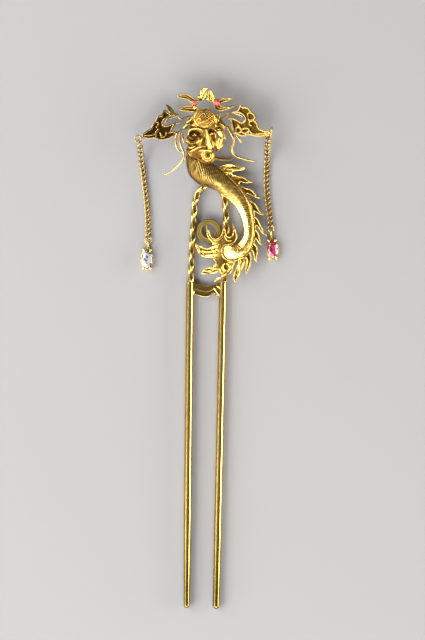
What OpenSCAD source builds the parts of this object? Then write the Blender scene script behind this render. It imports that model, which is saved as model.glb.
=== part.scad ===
// A gold hairpin with two prongs, a twisted arch, a dragon-fish, and two chains with marquise drops.
// It lies on its back: +Z is up, +Y runs from the prong tips to the crest, and the floor is Z = 0.
// Outlines are drawn on a sketch grid. X runs to the right and Y runs down, as on paper,
// and at() turns a place on the grid into millimetres.

/* [Whole pin] */
// Length from the crest to the tips of the prongs, in mm
length = 151; // [140:1:160]
// Gap left for solder between neighbouring pieces
solder_gap = 0.06; // [0.05:0.01:0.1]
// Height of the deck that the fish, the fins and the tail rest on
deck = 2.06; // [2.02:0.01:2.2]

/* [Fork] */
// Diameter of each prong
prong_d = 2.1; // [1.9:0.05:2.1]
// Diameter of the left prong at its rounded tip
left_tip_d = 1.6; // [1.4:0.05:1.9]
// Diameter of the right prong at its rounded tip
right_tip_d = 1.9; // [1.5:0.05:1.95]
// Thickness of the bridge plate
bridge_t = 1.1; // [0.8:0.1:1.5]

/* [Twisted arch] */
// Width across the corners of the square wire
twist_d = 1.84; // [1.6:0.02:1.86]
// Length of one full turn of the twist
twist_lead = 15.6; // [10:0.1:20]

/* [Coil ring] */
// Radius of the middle of the innermost turn
coil_r = 2.28; // [2.1:0.02:2.3]
// Diameter of the wound wire
coil_wire = 0.54; // [0.5:0.01:0.56]
// Distance between neighbouring turns
coil_pitch = 0.48; // [0.4:0.01:0.49]

/* [Fish] */
// Height of the ribs that stand for rows of scales
scale_rise = 0.1; // [0:0.02:0.16]
// Thickness of the fins
fin_t = 0.65; // [0.5:0.05:0.8]
// Height of the raised rims on fins, tail, horns and crest
rim_rise = 0.3; // [0.2:0.05:0.4]
// Width of those rims
rim_w = 0.3; // [0.2:0.02:0.36]

/* [Head] */
// Height of the flat seat under the forehead cap
brow_z = 6.0; // [5.6:0.1:6.4]
// Rise of the forehead cap
cap_rise = 1.7; // [1.2:0.1:2]
// Underside of the horns and of the crest
horn_z = 4.2; // [4:0.05:4.4]
// Thickness of the horns and of the crest
horn_t = 0.8; // [0.6:0.05:1]
// Diameter of the left pink bead
bead_left_d = 1.4; // [1.2:0.05:1.6]
// Diameter of the right pink bead
bead_right_d = 1.6; // [1.3:0.05:1.8]
// Diameter of the gold collar bead
collar_d = 1.15; // [1:0.05:1.2]

/* [Scroll panels] */
// Underside of the panels
panel_z = 2.95; // [2.9:0.01:3]
// Thickness of the sheet behind the wires
sheet_t = 0.3; // [0.2:0.02:0.4]
// Height of the wires, from the underside of the panel
wire_h = 0.74; // [0.6:0.02:0.76]
// Width of the wires
wire_w = 0.4; // [0.3:0.02:0.44]
// Wire diameter of the eyelets
eyelet_wire = 0.42; // [0.36:0.02:0.44]
// Angle at which the right panel rises outwards
right_tilt = 18; // [14:1:20]

/* [Chains] */
// Distance between neighbouring curb links
link_pitch = 1.38; // [1.36:0.01:1.42]
// Half length of a link, to the middle of its wire
link_half_l = 1.0; // [0.98:0.01:1.02]
// Half width of a link, to the middle of its wire
link_half_w = 0.66; // [0.64:0.01:0.68]
// How far a link is twisted out of flat
link_twist = 0.3; // [0.28:0.01:0.32]
// Wire diameter of the links
link_wire = 0.38; // [0.34:0.01:0.39]
// Wire diameter of the jump rings and bail loops
hoop_wire = 0.38; // [0.34:0.01:0.4]

/* [Drops] */
// Length of a marquise stone
stone_l = 5.3; // [5:0.1:5.4]
// Width of a marquise stone
stone_w = 3.1; // [2.9:0.1:3.1]
// Height of the middle of the girdle
girdle_z = 1.35; // [1.3:0.05:1.4]
// Diameter of the claws
claw_d = 0.6; // [0.5:0.05:0.6]

/* [Hidden] */
gold = "goldenrod";

// The sketch grid: its length along the pin, and the place on it that lies at the origin
grid_length = 521;
grid_x0 = 206.25;
grid_y0 = 348.75;
step = length / grid_length;
function at(p) = [(p[0] - grid_x0) * step, (grid_y0 - p[1]) * step];
function at3(x, y, z) = [(x - grid_x0) * step, (grid_y0 - y) * step, z];
function lay(list) = [for (p = list) at(p)];
function raise(list, z) = [for (p = list) at3(p[0], p[1], z)];

// Vector helpers
function unit(v) = v / norm(v);
function flip(list) = [for (i = [len(list) - 1:-1:0]) list[i]];
function heading(p, i) = unit(p[min(i + 1, len(p) - 1)] - p[max(i - 1, 0)]);
function run_to(p, n) = n == 0 ? 0 : norm(p[n] - p[n - 1]) + run_to(p, n - 1);

// A smooth curve through a list of points, with n steps between two neighbours
function bend(a, b, c, d, t) = (2 * b + (c - a) * t + (2 * a - 5 * b + 4 * c - d) * t * t
    + (3 * b - a - 3 * c + d) * t * t * t) / 2;
function smooth(p, n) = concat(
    [for (i = [0:len(p) - 2], k = [0:n - 1])
        bend(p[max(i - 1, 0)], p[i], p[i + 1], p[min(i + 2, len(p) - 1)], k / n)],
    [p[len(p) - 1]]);
function smooth_loop(p, n) = [for (i = [0:len(p) - 1], k = [0:n - 1])
    bend(p[(i + len(p) - 1) % len(p)], p[i], p[(i + 1) % len(p)], p[(i + 2) % len(p)], k / n)];

// The outline of a flat wire along a curve, w0 wide at its start and w1 at its end
function side_point(p, i, d) = p[i] + d * [-heading(p, i)[1], heading(p, i)[0]];
function half_w(w0, w1, i, n) = (w0 + (w1 - w0) * i / n) / 2;
function ribbon(p, w0, w1) = concat(
    [for (i = [0:len(p) - 1]) side_point(p, i, half_w(w0, w1, i, len(p) - 1))],
    [for (i = [len(p) - 1:-1:0]) side_point(p, i, -half_w(w0, w1, i, len(p) - 1))]);

// A closed skin over rings of points. Each ring runs clockwise as seen from beyond the last one.
module skin(rings, closed = false) {
    n = len(rings[0]);
    m = len(rings);
    last = closed ? m - 1 : m - 2;
    low = [for (i = [0:last], j = [0:n - 1])
        [i * n + j, i * n + (j + 1) % n, ((i + 1) % m) * n + (j + 1) % n]];
    high = [for (i = [0:last], j = [0:n - 1])
        [i * n + j, ((i + 1) % m) * n + (j + 1) % n, ((i + 1) % m) * n + j]];
    caps = closed ? [] : [[for (j = [n - 1:-1:0]) j], [for (j = [0:n - 1]) (m - 1) * n + j]];
    polyhedron([for (r = rings, p = r) p], concat(low, high, caps), convexity = 8);
}

// A ring of the wire's section at each point of a route that isn't vertical
function wire_ring(p, i, profile) =
    let (t = heading(p, i), s = unit(cross(t, [0, 0, 1])), v = cross(s, t))
    [for (q = profile) p[i] + q[0] * s + q[1] * v];
function round_profile(r, sides) = [for (k = [0:sides - 1]) let (a = 360 * k / sides)
    r * [cos(a), sin(a)]];

// A tapering round wire along a route
module whisker(route, d0, d1) {
    p = smooth(route, 2);
    n = len(p) - 1;
    skin([for (i = [0:n]) wire_ring(p, i, round_profile(half_w(d0, d1, i, n), 6))]);
}

// A round wire ring that stands upright in the vertical plane along the angle turn
module upright_ring(centre, turn, r, wire) {
    translate(centre)
        rotate([90, 0, turn])
            rotate_extrude($fn = 48)
                translate([r, 0])
                    circle(d = wire, $fn = 24);
}

// The same ring lying flat
module flat_ring(centre, r, wire) {
    translate(centre)
        rotate_extrude($fn = 48)
            translate([r, 0])
                circle(d = wire, $fn = 24);
}

// A flat plate with a raised rim round each leaf
module rimmed(z, t) {
    translate([0, 0, z])
        linear_extrude(t)
            children();
    translate([0, 0, z + t])
        linear_extrude(rim_rise)
            difference() {
                children();
                offset(delta = -rim_w)
                    children();
            }
}

// Fork. Each row of PRONGS holds the middle of the flat top and of the rounded tip, on the grid,
// and the diameter of the tip. The neck beside the bridge widens a little on its way down.
PRONGS = [
    [[189.7, 282], [186.5, 608.2], left_tip_d],
    [[222.95, 282], [216.0, 609.2], right_tip_d]];
taper_share = 0.26;
neck_l = 5.2;
neck_cut = 0.05;
bridge_top = [[190, 283], [194, 282.3], [200, 284], [206, 285.8], [212, 285.3], [218, 283.2],
    [222, 282.8]];
bridge_low = [[222, 295], [216, 295.4], [213.6, 293], [209.5, 296.2], [205, 297.2], [199.5, 296.2],
    [194.5, 294.5], [190, 293]];
prong_bulge = [192.7, 292];
prong_bulge_d = 1.3;

module prong(row) {
    top = at(row[0]);
    tip = at(row[1]);
    reach = norm(tip - top);
    tip_r = row[2] / 2;
    turn = atan2(tip[1] - top[1], tip[0] - top[0]);
    translate([top[0], top[1], prong_d / 2])
        rotate([0, 90, turn])
            rotate_extrude($fn = 64)
                intersection() {
                    union() {
                        polygon([[0, 0], [prong_d / 2 - neck_cut, 0], [prong_d / 2, neck_l],
                            [prong_d / 2, reach * (1 - taper_share)], [tip_r, reach - tip_r],
                            [0, reach - tip_r]]);
                        translate([0, reach - tip_r])
                            circle(r = tip_r, $fn = 48);
                    }
                    square([prong_d, reach + 1]);
                }
}

module fork() {
    color(gold) {
        for (row = PRONGS)
            prong(row);
        translate([0, 0, (prong_d - bridge_t) / 2])
            linear_extrude(bridge_t)
                polygon(concat(smooth(lay(bridge_top), 3), smooth(lay(bridge_low), 3)));
        translate(at3(prong_bulge[0], prong_bulge[1], prong_d / 2))
            sphere(d = prong_bulge_d, $fn = 32);
    }
}

// Twisted arch, from the top of the left prong over to the right one, a little above the floor
arch_lift = 0.12;
ARCH_ROUTE = [[190.9, 281.7], [191.1, 273], [191.5, 262], [191.7, 250], [192.5, 240], [193.1, 230],
    [193.8, 220], [194.4, 210], [195.4, 200], [199, 191.5], [204.5, 186], [211.5, 184.2],
    [218.5, 187], [223, 193], [224.8, 201], [225.7, 212], [226.4, 224], [226.7, 236], [226.3, 248],
    [225.5, 260], [224.7, 271], [224.4, 281.7]];

function square_profile(turn) = [for (k = [0:3]) let (a = turn + 90 * k)
    twist_d / 2 * [cos(a), sin(a)]];

module twisted_arch() {
    route = smooth(raise(ARCH_ROUTE, twist_d / 2 + arch_lift), 4);
    color(gold)
        skin([for (i = [0:len(route) - 1])
            wire_ring(route, i, square_profile(360 * run_to(route, i) / twist_lead))]);
}

// Coil ring, three turns wide and two turns deep
coil_centre = [208.9, 231];

module coil_ring() {
    top_z = deck - solder_gap - coil_wire / 2;
    color("darkkhaki")
        translate(at3(coil_centre[0], coil_centre[1], 0))
            rotate_extrude($fn = 96)
                for (row = [0:1], turn = [0:2])
                    translate([coil_r + turn * coil_pitch, top_z - row * coil_pitch])
                        circle(d = coil_wire, $fn = 24);
}

// Fish body. Columns: place of the belly edge, place of the back edge, rise above the deck in mm.
BODY = [
    [[185.9, 158.5], [211.5, 162.6], 2.1],
    [[187.1, 169.3], [218, 167.6], 2.9],
    [[190.2, 176.6], [224.5, 172.8], 3.3],
    [[198.2, 183.9], [231.5, 179.3], 3.3],
    [[208, 187.3], [237.5, 185.2], 3.0],
    [[217, 191.2], [242.7, 191.3], 2.7],
    [[226, 198], [247.2, 199], 2.4],
    [[234.5, 205.8], [250.4, 207], 2.1],
    [[240.3, 216], [252.5, 216], 1.8],
    [[243.3, 228], [253.4, 228], 1.7],
    [[242.8, 236.5], [252.8, 238.5], 1.7],
    [[239.5, 241.6], [250.6, 247.6], 1.8],
    [[235, 244.3], [245.6, 254.8], 1.9],
    [[230.3, 244.8], [238, 258.3], 1.9],
    [[226.4, 245.7], [230.6, 259.6], 1.8],
    [[223.5, 248.4], [225, 257.2], 1.2],
    [[222.7, 251.4], [223.1, 254], 0.5]];
body_steps = 4;
body_sides = 12;

function body_columns(k) = smooth([for (row = BODY) k < 2 ? at(row[k]) : [row[2], 0]], body_steps);
function dome_ring(belly, back, rise) = let (mid = (belly + back) / 2, half = (belly - back) / 2)
    [for (k = [0:body_sides]) let (a = 180 * k / body_sides)
        [mid[0] + half[0] * cos(a), mid[1] + half[1] * cos(a), deck + rise * sin(a)]];

module body_outline() {
    polygon(concat(body_columns(0), flip(body_columns(1))));
}

module fish_body() {
    belly = body_columns(0);
    back = body_columns(1);
    rise = body_columns(2);
    color(gold)
        skin([for (i = [0:len(belly) - 1])
            dome_ring(belly[i], back[i], rise[i][0] + (i % 2) * scale_rise)]);
}

// Dorsal fins. Columns: upper root, four places on the upper edge, tip, then back along the lower
// edge with the notch before the next fin, to the lower root.
FINS = [
    [[217.5, 168.5], [221, 165.8], [225, 164.9], [231.2, 164.4], [238, 166.8], [245.4, 166.8],
        [243.5, 169.8], [238, 170.8], [233.5, 171.3], [231.8, 173.3], [233, 175.6], [228.5, 177]],
    [[228.5, 176.5], [233, 175.2], [237.5, 175.6], [243.1, 176.9], [247.5, 180], [253.6, 181.6],
        [249.5, 183], [244.5, 183], [240.6, 182], [239.6, 184], [241, 186.2], [235.5, 185.5]],
    [[236, 184.5], [241, 185.6], [246, 188], [251.3, 189.4], [256.3, 195], [261, 198.6],
        [256.3, 197.8], [250.5, 195], [247, 193.6], [246.3, 196], [247.6, 198.4], [243.5, 195.5]],
    [[243.5, 195], [247.6, 198.2], [252.5, 201.5], [255.9, 204.4], [260, 211.2], [264.6, 215.4],
        [259.5, 214.3], [254.6, 211.3], [252, 210.4], [252.3, 213], [253.6, 215.6], [250.5, 214]],
    [[249.5, 211], [253.4, 215], [257.3, 218.4], [260, 223.6], [263.3, 230.3], [267, 236.2],
        [262, 233], [258.3, 227.6], [255.4, 224.8], [255, 227.4], [256.3, 230.4], [251.5, 228]],
    [[251.8, 226.5], [256, 230], [258.5, 232.8], [259.5, 237.8], [260.4, 241.8], [262.7, 245.6],
        [259.3, 243.6], [256.6, 239.8], [254.7, 238], [254, 240.8], [254.6, 243.8], [250.8, 240.5]],
    [[251, 238.5], [254.6, 243.6], [257, 246.4], [257.7, 251.3], [257, 257], [256.3, 262.6],
        [254.4, 259], [253.6, 254.6], [252.3, 250.9], [250.4, 249.9], [250.2, 252], [247.8, 249]],
    [[248.3, 249], [250.2, 252.4], [251.2, 258.4], [250.3, 264.6], [248.4, 270.4], [246.1, 274.7],
        [245.3, 270], [246, 264.6], [246.8, 260.4], [245.4, 257.9], [243.9, 258.2], [243, 254.5]],
    [[243.5, 254.5], [245, 259], [244.3, 264.4], [242, 269.2], [239.3, 275.4], [235.6, 282.4],
        [233.4, 278.6], [234.4, 272.6], [236.8, 266.8], [238.4, 262.4], [237.5, 259.9], [235.5, 256.5]]];
fin_tip = 5;
spine_w = 0.75;
spine_shift = 0.25;
seam_wire_w = 0.36;

function fin_outline(row) = let (p = lay(row))
    concat(smooth([for (i = [0:fin_tip]) p[i]], 4), smooth([for (i = [fin_tip:len(p) - 1]) p[i]], 4));

module keep_off_body() {
    difference() {
        children();
        offset(delta = solder_gap)
            body_outline();
    }
}

// The top of a cast plate: a rim round its leaves and a wire along its seam with the body
module plate_top() {
    difference() {
        children();
        offset(delta = -rim_w)
            children();
    }
    intersection() {
        children();
        offset(delta = solder_gap + seam_wire_w)
            body_outline();
    }
}

module fins_outline() {
    back = body_columns(1);
    belly = body_columns(0);
    spine = [for (i = [4:len(back) - 8]) back[i] - spine_shift * unit(belly[i] - back[i])];
    polygon(ribbon(spine, spine_w, spine_w));
    for (row = FINS)
        polygon(fin_outline(row));
}

module dorsal_fins() {
    color(gold) {
        translate([0, 0, deck])
            linear_extrude(fin_t)
                keep_off_body()
                    fins_outline();
        translate([0, 0, deck + fin_t])
            linear_extrude(rim_rise)
                keep_off_body()
                    plate_top()
                        fins_outline();
    }
}

// Tail fin: closed outlines of its leaves, and the web that carries them
LEAF_UPPER = [[195, 243.2], [200, 245.6], [204, 248.2], [208, 248.6], [211.5, 246.5], [213, 242.5],
    [211, 239.5], [219, 242], [223, 248], [222, 257], [217, 257.5], [208, 257.6], [201.5, 256],
    [197.5, 250.5]];
LEAF_LOWER = [[201.2, 273.6], [204.5, 269.3], [210, 267.4], [214.5, 265.5], [215.8, 262],
    [213, 258.2], [219, 256], [223, 259], [221, 264.5], [220.3, 269.3], [216, 272.8], [209, 273.9]];
LEAF_HOOK = [[213.8, 282], [217.5, 278], [222.5, 275.8], [219.5, 271], [219, 266], [221.5, 258.5],
    [229, 257.5], [236, 260.5], [233.3, 266.5], [232.3, 270.5], [228.5, 274.8], [221.5, 278]];
LEAF_WEB = [[206, 225], [209, 230.5], [211, 236], [215.5, 238.6], [220, 236.5], [222.4, 232],
    [223.6, 222.3], [225.2, 229], [226.8, 235.5], [230.5, 236.6], [233, 233], [232.6, 223.4],
    [236, 231.5], [237.3, 239], [232, 246], [222, 262], [213, 244], [209.5, 239.5], [206.8, 234]];
hook_hole = [226, 266.8];
hook_hole_d = 1.5;

module tail_outline() {
    difference() {
        union() {
            for (leaf = [LEAF_UPPER, LEAF_LOWER, LEAF_HOOK, LEAF_WEB])
                polygon(smooth_loop(lay(leaf), 3));
        }
        translate(at(hook_hole))
            circle(d = hook_hole_d, $fn = 24);
        offset(delta = solder_gap)
            fins_outline();
    }
}

module tail_fin() {
    color(gold) {
        translate([0, 0, deck])
            linear_extrude(fin_t)
                keep_off_body()
                    tail_outline();
        translate([0, 0, deck + fin_t])
            linear_extrude(rim_rise)
                keep_off_body()
                    plate_top()
                        tail_outline();
    }
}

// Head. A lump is a rounded swelling, and a lock is a row of them drawn into a strand.
// Columns of LUMPS: place, height, then the three half sizes in mm.
LUMPS = [
    [[193, 141], 4.5, [2.1, 1.7, 1.3]],
    [[200, 151.2], 4.3, [4.0, 2.6, 2.1]],
    [[217, 139], 4.6, [1.8, 3.0, 1.5]],
    [[195, 134.3], 5.0, [1.2, 0.8, 0.75]],
    [[212.3, 133.2], 5.9, [0.8, 0.7, 0.6]],
    [[203.5, 145], 5.2, [2.2, 2.2, 1.4]],
    [[207.5, 156.6], 5.6, [2.1, 2.1, 1.1]],
    [[207.5, 156.6], 6.4, [0.9, 0.9, 0.6]]];
// Columns of LOCKS: half thickness at the start and at the end in mm, then places with heights.
LOCKS = [
    [0.75, 0.6, [[194.5, 117.5, 4.6], [189, 123, 4.6], [184.5, 128, 4.5]]],
    [0.7, 0.6, [[216.5, 118.5, 4.9], [221, 123.5, 4.8], [224, 127, 4.7]]],
    [0.35, 0.25, [[214.5, 119, 5.2], [217.2, 115, 5.0]]],
    [0.35, 0.22, [[218.5, 119, 5.0], [220.6, 113, 4.7]]],
    [0.25, 0.35, [[219.5, 120, 4.6], [224, 117.6, 4.5], [227.6, 116, 4.5], [229.6, 113, 4.5]]],
    [0.4, 0.45, [[188, 135, 5.2], [191, 130.5, 5.5], [197, 129.4, 5.8], [203, 131, 5.9]]],
    [0.5, 0.5, [[187.5, 138.5, 4.8], [193, 141.5, 5.3], [199.5, 138.8, 5.6]]],
    [0.5, 0.55, [[217, 126.8, 5.7], [220.5, 126.2, 5.5], [223.5, 129.5, 4.8]]],
    [0.75, 0.85, [[207, 132, 5.8], [208.5, 139, 6.3], [210, 147.5, 6.7]]],
    [0.6, 0.7, [[221.3, 134, 5.2], [219.6, 141, 5.6], [218.6, 147.5, 5.2]]],
    [0.3, 0.35, [[192, 155.5, 5.3], [201, 150.6, 6.3], [212, 151, 6.5]]],
    [0.4, 0.4, [[198.5, 160, 5.0], [205, 162.5, 5.6], [211, 162.3, 5.6], [216, 158.5, 5.0]]],
    [0.3, 0.25, [[222.5, 132, 4.4], [224, 135.5, 4.3], [225.6, 139.5, 4.2]]],
    [0.5, 0.25, [[214, 158.5, 4.9], [222, 160, 4.6], [229, 159.8, 4.3], [233.2, 156.8, 4.2]]]];

// Columns of SKULL and BROW: place and height of the top of a thin oval slice, its half sizes in mm.
slice_t = 0.05;
SKULL = [
    [[205, 121], deck + slice_t, [2.8, 3.0]],
    [[205, 134], deck + slice_t, [4.7, 4.0]],
    [[200, 149], deck + slice_t, [3.4, 3.3]],
    [[205, 134], 4.35, [5.1, 4.2]],
    [[205, 120.5], 4.35, [3.0, 3.0]]];
BROW = [
    [[205, 121], 4.25, [3.0, 3.0]],
    [[206, 131], 4.35, [4.6, 3.6]],
    [[205, 120], brow_z, [2.8, 2.6]],
    [[206.5, 128], brow_z - 0.35, [3.0, 2.0]]];

module oval_stack(rows) {
    hull()
        for (row = rows)
            translate(at3(row[0][0], row[0][1], row[1] - slice_t))
                scale([row[2][0], row[2][1], 1])
                    cylinder(r = 1, h = slice_t, $fn = 24);
}

module lump(row) {
    hull()
        translate(at3(row[0][0], row[0][1], row[1]))
            scale(row[2])
                sphere(1, $fn = 14);
}

module lock(row) {
    p = row[2];
    n = len(p) - 1;
    for (i = [0:n - 1])
        hull()
            for (k = [i, i + 1])
                translate(at3(p[k][0], p[k][1], p[k][2]))
                    sphere(row[0] + (row[1] - row[0]) * k / n, $fn = 10);
}

module head() {
    color(gold) {
        oval_stack(SKULL);
        oval_stack(BROW);
        for (row = LUMPS)
            lump(row);
        for (row = LOCKS)
            lock(row);
    }
}

// Forehead cap: a dome with a round rim and a round ridge, drawn as its half section
cap_centre = [204.5, 119];
cap_r = 3.02;
cap_squash = [1.06, 0.93, 1];
cap_rim = 0.25;
cap_ridge = [1.87, 1.08];
cap_ridge_r = 0.2;

module forehead_cap() {
    ball_r = (cap_r * cap_r + cap_rise * cap_rise) / (2 * cap_rise);
    color(gold)
        translate(at3(cap_centre[0], cap_centre[1], brow_z + solder_gap))
            scale(cap_squash)
                rotate_extrude($fn = 72)
                    union() {
                        intersection() {
                            translate([0, cap_rise - ball_r])
                                circle(r = ball_r, $fn = 96);
                            square([cap_r, cap_rise]);
                        }
                        translate([cap_r - 0.8 * cap_rim, cap_rim])
                            circle(r = cap_rim, $fn = 24);
                        translate(cap_ridge)
                            circle(r = cap_ridge_r, $fn = 24);
                    }
}

// Crest flame with its carrying wires
CREST_LEFT = [[207.4, 88.41], [204, 88.8], [201.2, 91], [200, 94], [197.6, 97.2], [198.2, 99.6],
    [197.4, 101.2], [201, 101.5], [204.8, 99.2], [206.3, 95], [207.1, 91]];
CREST_RIGHT = [[207.4, 96], [208.1, 92.6], [210, 90.4], [211.3, 91.4], [212.2, 93.8], [213.8, 95.6],
    [214.8, 97.7], [215.8, 99.9], [213, 101.3], [210.2, 101.8], [207.9, 99.9]];
crest_t = 0.6;
crest_wire = [[193, 98.6], [196.5, 100.9], [201, 101], [204.5, 99.5], [207.6, 99.5], [211, 101.4],
    [216, 100.6], [220, 100.4]];

module crest_outline() {
    for (leaf = [CREST_LEFT, CREST_RIGHT])
        polygon(smooth_loop(lay(leaf), 3));
    polygon(ribbon(smooth(lay(crest_wire), 3), wire_w, wire_w));
}

module crest() {
    color(gold)
        rimmed(horn_z, crest_t)
            difference() {
                crest_outline();
                offset(delta = solder_gap) {
                    antler_outline(ANTLER_LEFT);
                    antler_outline(ANTLER_RIGHT);
                }
            }
}

// Antlers: one outline each, from the tip of the upper branch round to the tip of the lower one
ANTLER_LEFT = [[177.3, 97], [180, 95.1], [184, 94.7], [188, 95], [191.5, 97.2], [196.6, 100.4],
    [197.2, 104], [197.3, 108], [197.2, 111.6], [193, 112.6], [188, 111.9], [183, 111.4],
    [179.3, 110.5], [183, 107.7], [187, 106.2], [191.6, 106.6], [192.3, 104.6], [189.3, 101.3],
    [186, 99.7], [182, 98.9]];
ANTLER_RIGHT = [[233.2, 97.7], [228, 98.4], [220, 98.9], [214.3, 100.8], [213.6, 104], [214, 107.8],
    [216, 110.2], [219.5, 111.6], [224, 110.7], [229, 109.2], [233, 107.6], [236, 105.5],
    [231, 106.4], [226, 107.2], [221.6, 106.6], [220.2, 105.3], [223, 102.9], [228, 101.3],
    [231.5, 99.7]];

module antler_outline(outline) {
    polygon(smooth_loop(lay(outline), 3));
}

module antler_left() {
    color(gold)
        rimmed(horn_z, horn_t)
            antler_outline(ANTLER_LEFT);
}

module antler_right() {
    color(gold)
        rimmed(horn_z, horn_t)
            antler_outline(ANTLER_RIGHT);
}

// Beads on the forks of the antlers. Columns: place on the grid, diameter, colour.
module bead(place, d, tint) {
    z = horn_z + horn_t + rim_rise + solder_gap + d / 2;
    color(tint)
        translate(at3(place[0], place[1], z))
            sphere(d = d, $fn = 48);
}

module bead_left() {
    bead([194.4, 103.5], bead_left_d, "palevioletred");
}

module bead_right() {
    bead([217.2, 103.6], bead_right_d, "palevioletred");
}

module collar_left() {
    bead([195, 108.3], collar_d, "orange");
}

// Whiskers: routes with heights in mm
module whiskers_left() {
    color(gold) {
        whisker([at3(177.3, 134, 4.1), at3(175.7, 139, 4.1), at3(176.2, 145, 4.0), at3(178, 149.6, 3.8),
            at3(180.8, 152.2, 3.7)], 0.62, 0.4);
        whisker([at3(179.8, 133.5, 4.15), at3(179.8, 140, 4.2), at3(181, 146, 4.2), at3(183.2, 151, 4.2),
            at3(184.4, 156, 4.1), at3(182.6, 161.3, 4), at3(178, 166.4, 3.7), at3(172, 171, 3.4),
            at3(164.4, 175, 3.1)], 0.55, 0.34);
        whisker([at3(182.4, 133.8, 4.15), at3(183, 138.5, 4.2), at3(184, 143, 4.2)], 0.5, 0.34);
    }
}

module whiskers_right() {
    color(gold) {
        whisker([at3(227.4, 127.6, 4.35), at3(230.6, 133, 4.4), at3(233.4, 138.5, 4.4), at3(233.3, 144, 4.3),
            at3(231.7, 149, 4.2), at3(233.6, 154.4, 4), at3(238.5, 157.6, 3.8), at3(246, 159.8, 3.5),
            at3(254.6, 161.5, 3.2)], 0.62, 0.34);
        whisker([at3(236.8, 136.4, 4.1), at3(239.2, 139.4, 4), at3(241, 142.6, 3.8)], 0.5, 0.3);
    }
}

// Scroll panels. SHEET is the outline of the sheet, and each row of WIRES is one wire soldered on it.
SHEET_LEFT = [[141.5, 137.6], [143.5, 134], [148, 131], [151.5, 129], [153, 125.6], [156, 122],
    [157.5, 118.3], [159.4, 116.4], [162.6, 116.2], [162.7, 113.3], [165.4, 110.6], [168, 113.4],
    [177.3, 114.3], [171.5, 115], [167.8, 116.8], [164.6, 119.3], [162.8, 122.4], [163.2, 125.6],
    [166, 126.4], [170, 125.1], [174.6, 124], [172.6, 128], [171.7, 131.8], [177, 132.8],
    [173.5, 135.6], [166.5, 138.9], [160, 139.5], [155, 137.6], [149, 138.2]];
WIRES_LEFT = [
    [[142.5, 135], [148, 131], [151.6, 128.8], [153, 125.4], [156, 122.3], [158.4, 122.6],
        [158.6, 125], [156.3, 127.6]],
    [[156.3, 121.6], [157.5, 118.3], [159.4, 116.4], [163, 116.3]],
    [[162.8, 116.4], [162.7, 113.2], [165.4, 110.6], [168, 113.4], [171.5, 114.2], [177.2, 114.3],
        [178.9, 117.3], [181.6, 119.5], [185, 117.3], [190.8, 116.2]],
    [[177.2, 114.5], [171.5, 115], [167.8, 116.8], [164.6, 119.3], [162.6, 122.6], [163, 125.6],
        [166, 126.4], [170, 125.1], [175, 123.5], [180.5, 122.6]],
    [[178.2, 115.4], [175.5, 116.4], [171.5, 117.4], [167.6, 119.7], [165.8, 123]],
    [[159.4, 128.8], [157, 131.4], [155.5, 133.6], [151, 135.4], [142.5, 135.4]],
    [[156.6, 133.8], [156.4, 136.6], [158, 138.8], [161, 139.4]],
    [[160, 132.8], [161.6, 134.8], [160.8, 137], [164.6, 136.6], [166.6, 134.6], [166.4, 132]],
    [[175, 124], [172.6, 128], [171.2, 132]],
    [[168.6, 133], [172.5, 132], [177, 132.6], [180.6, 131], [184, 128.4]],
    [[142.5, 137], [149, 138.2], [155, 137.6], [160, 139.5], [166.5, 138.9], [173.5, 135.6],
        [177, 132.8]]];
SHEET_RIGHT = [[233, 119.5], [238.5, 121.4], [242.5, 123.6], [246, 121.8], [246.6, 118.4],
    [244, 115], [240, 112.8], [237, 112.3], [239.5, 110], [241.7, 105.8], [243, 108.2],
    [248, 108.6], [252, 113.3], [255.6, 117.6], [254, 121], [257.4, 124.6], [258.8, 129.2],
    [265, 132.2], [268.6, 132.6], [268.6, 133.6], [266.5, 135.6], [263, 136.6], [257, 136.6],
    [250, 134.8], [244, 136.2], [235.5, 133], [233.4, 127]];
WIRES_RIGHT = [
    [[227.8, 113.4], [233, 112.8], [237, 112.3], [239.7, 110], [241.7, 105.8], [243, 108.2],
        [248, 108.6], [252, 113.3], [255.6, 117.4], [254, 120.8]],
    [[252, 113.4], [248.6, 114.4], [248.4, 117.4]],
    [[248.6, 119.5], [251, 120.8], [254, 120.8], [257.4, 124.6], [258.8, 129.2], [265, 132.2],
        [268.9, 132.4]],
    [[253, 121], [250.3, 122.6], [250.4, 125], [252.4, 126.4]],
    [[237, 112.3], [241, 113], [244.8, 115.8], [246.6, 119.4], [245, 122.6], [241.8, 123.4],
        [238.4, 121.2], [233, 119], [227.8, 119.4]],
    [[234.6, 112.8], [236.4, 114.2], [240, 115.2], [243.4, 117.6]],
    [[238.4, 125], [240.6, 127.2], [241.6, 130]],
    [[242.4, 131.4], [244.4, 129.2], [248.6, 129], [250, 131.2], [247.4, 133.4], [244.4, 133.6],
        [242, 131.4]],
    [[250, 131.4], [252.4, 133.4], [256, 134.8], [264.5, 134.2], [268.9, 133]],
    [[234.2, 132.6], [238.4, 134.6], [244, 136.2], [250, 134.8], [257, 136.6], [263, 136.6],
        [267, 135.4], [268.8, 133.6]]];
hinge_x = 228;
weld = 0.01;
cone_route = [[231.8, 118.6], [232.4, 124], [233.8, 131]];
cone_w = [0.55, 0.95];
small_ring = [239.4, 130.6];
small_ring_r = 0.84;
ear_leaf = [[165.8, 104.6], [170.5, 107], [173.6, 110.6], [175, 114.4], [171.5, 114.4], [168.4, 110.6]];

// A tilted panel is drawn longer along X, so that it keeps the same outline from above
function stretch(list, tilt) = [for (p = list) [hinge_x + (p[0] - hinge_x) / cos(tilt), p[1]]];

module wires(rows, tilt) {
    for (row = rows)
        polygon(ribbon(smooth(lay(stretch(row, tilt)), 3), wire_w, wire_w));
}

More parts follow.
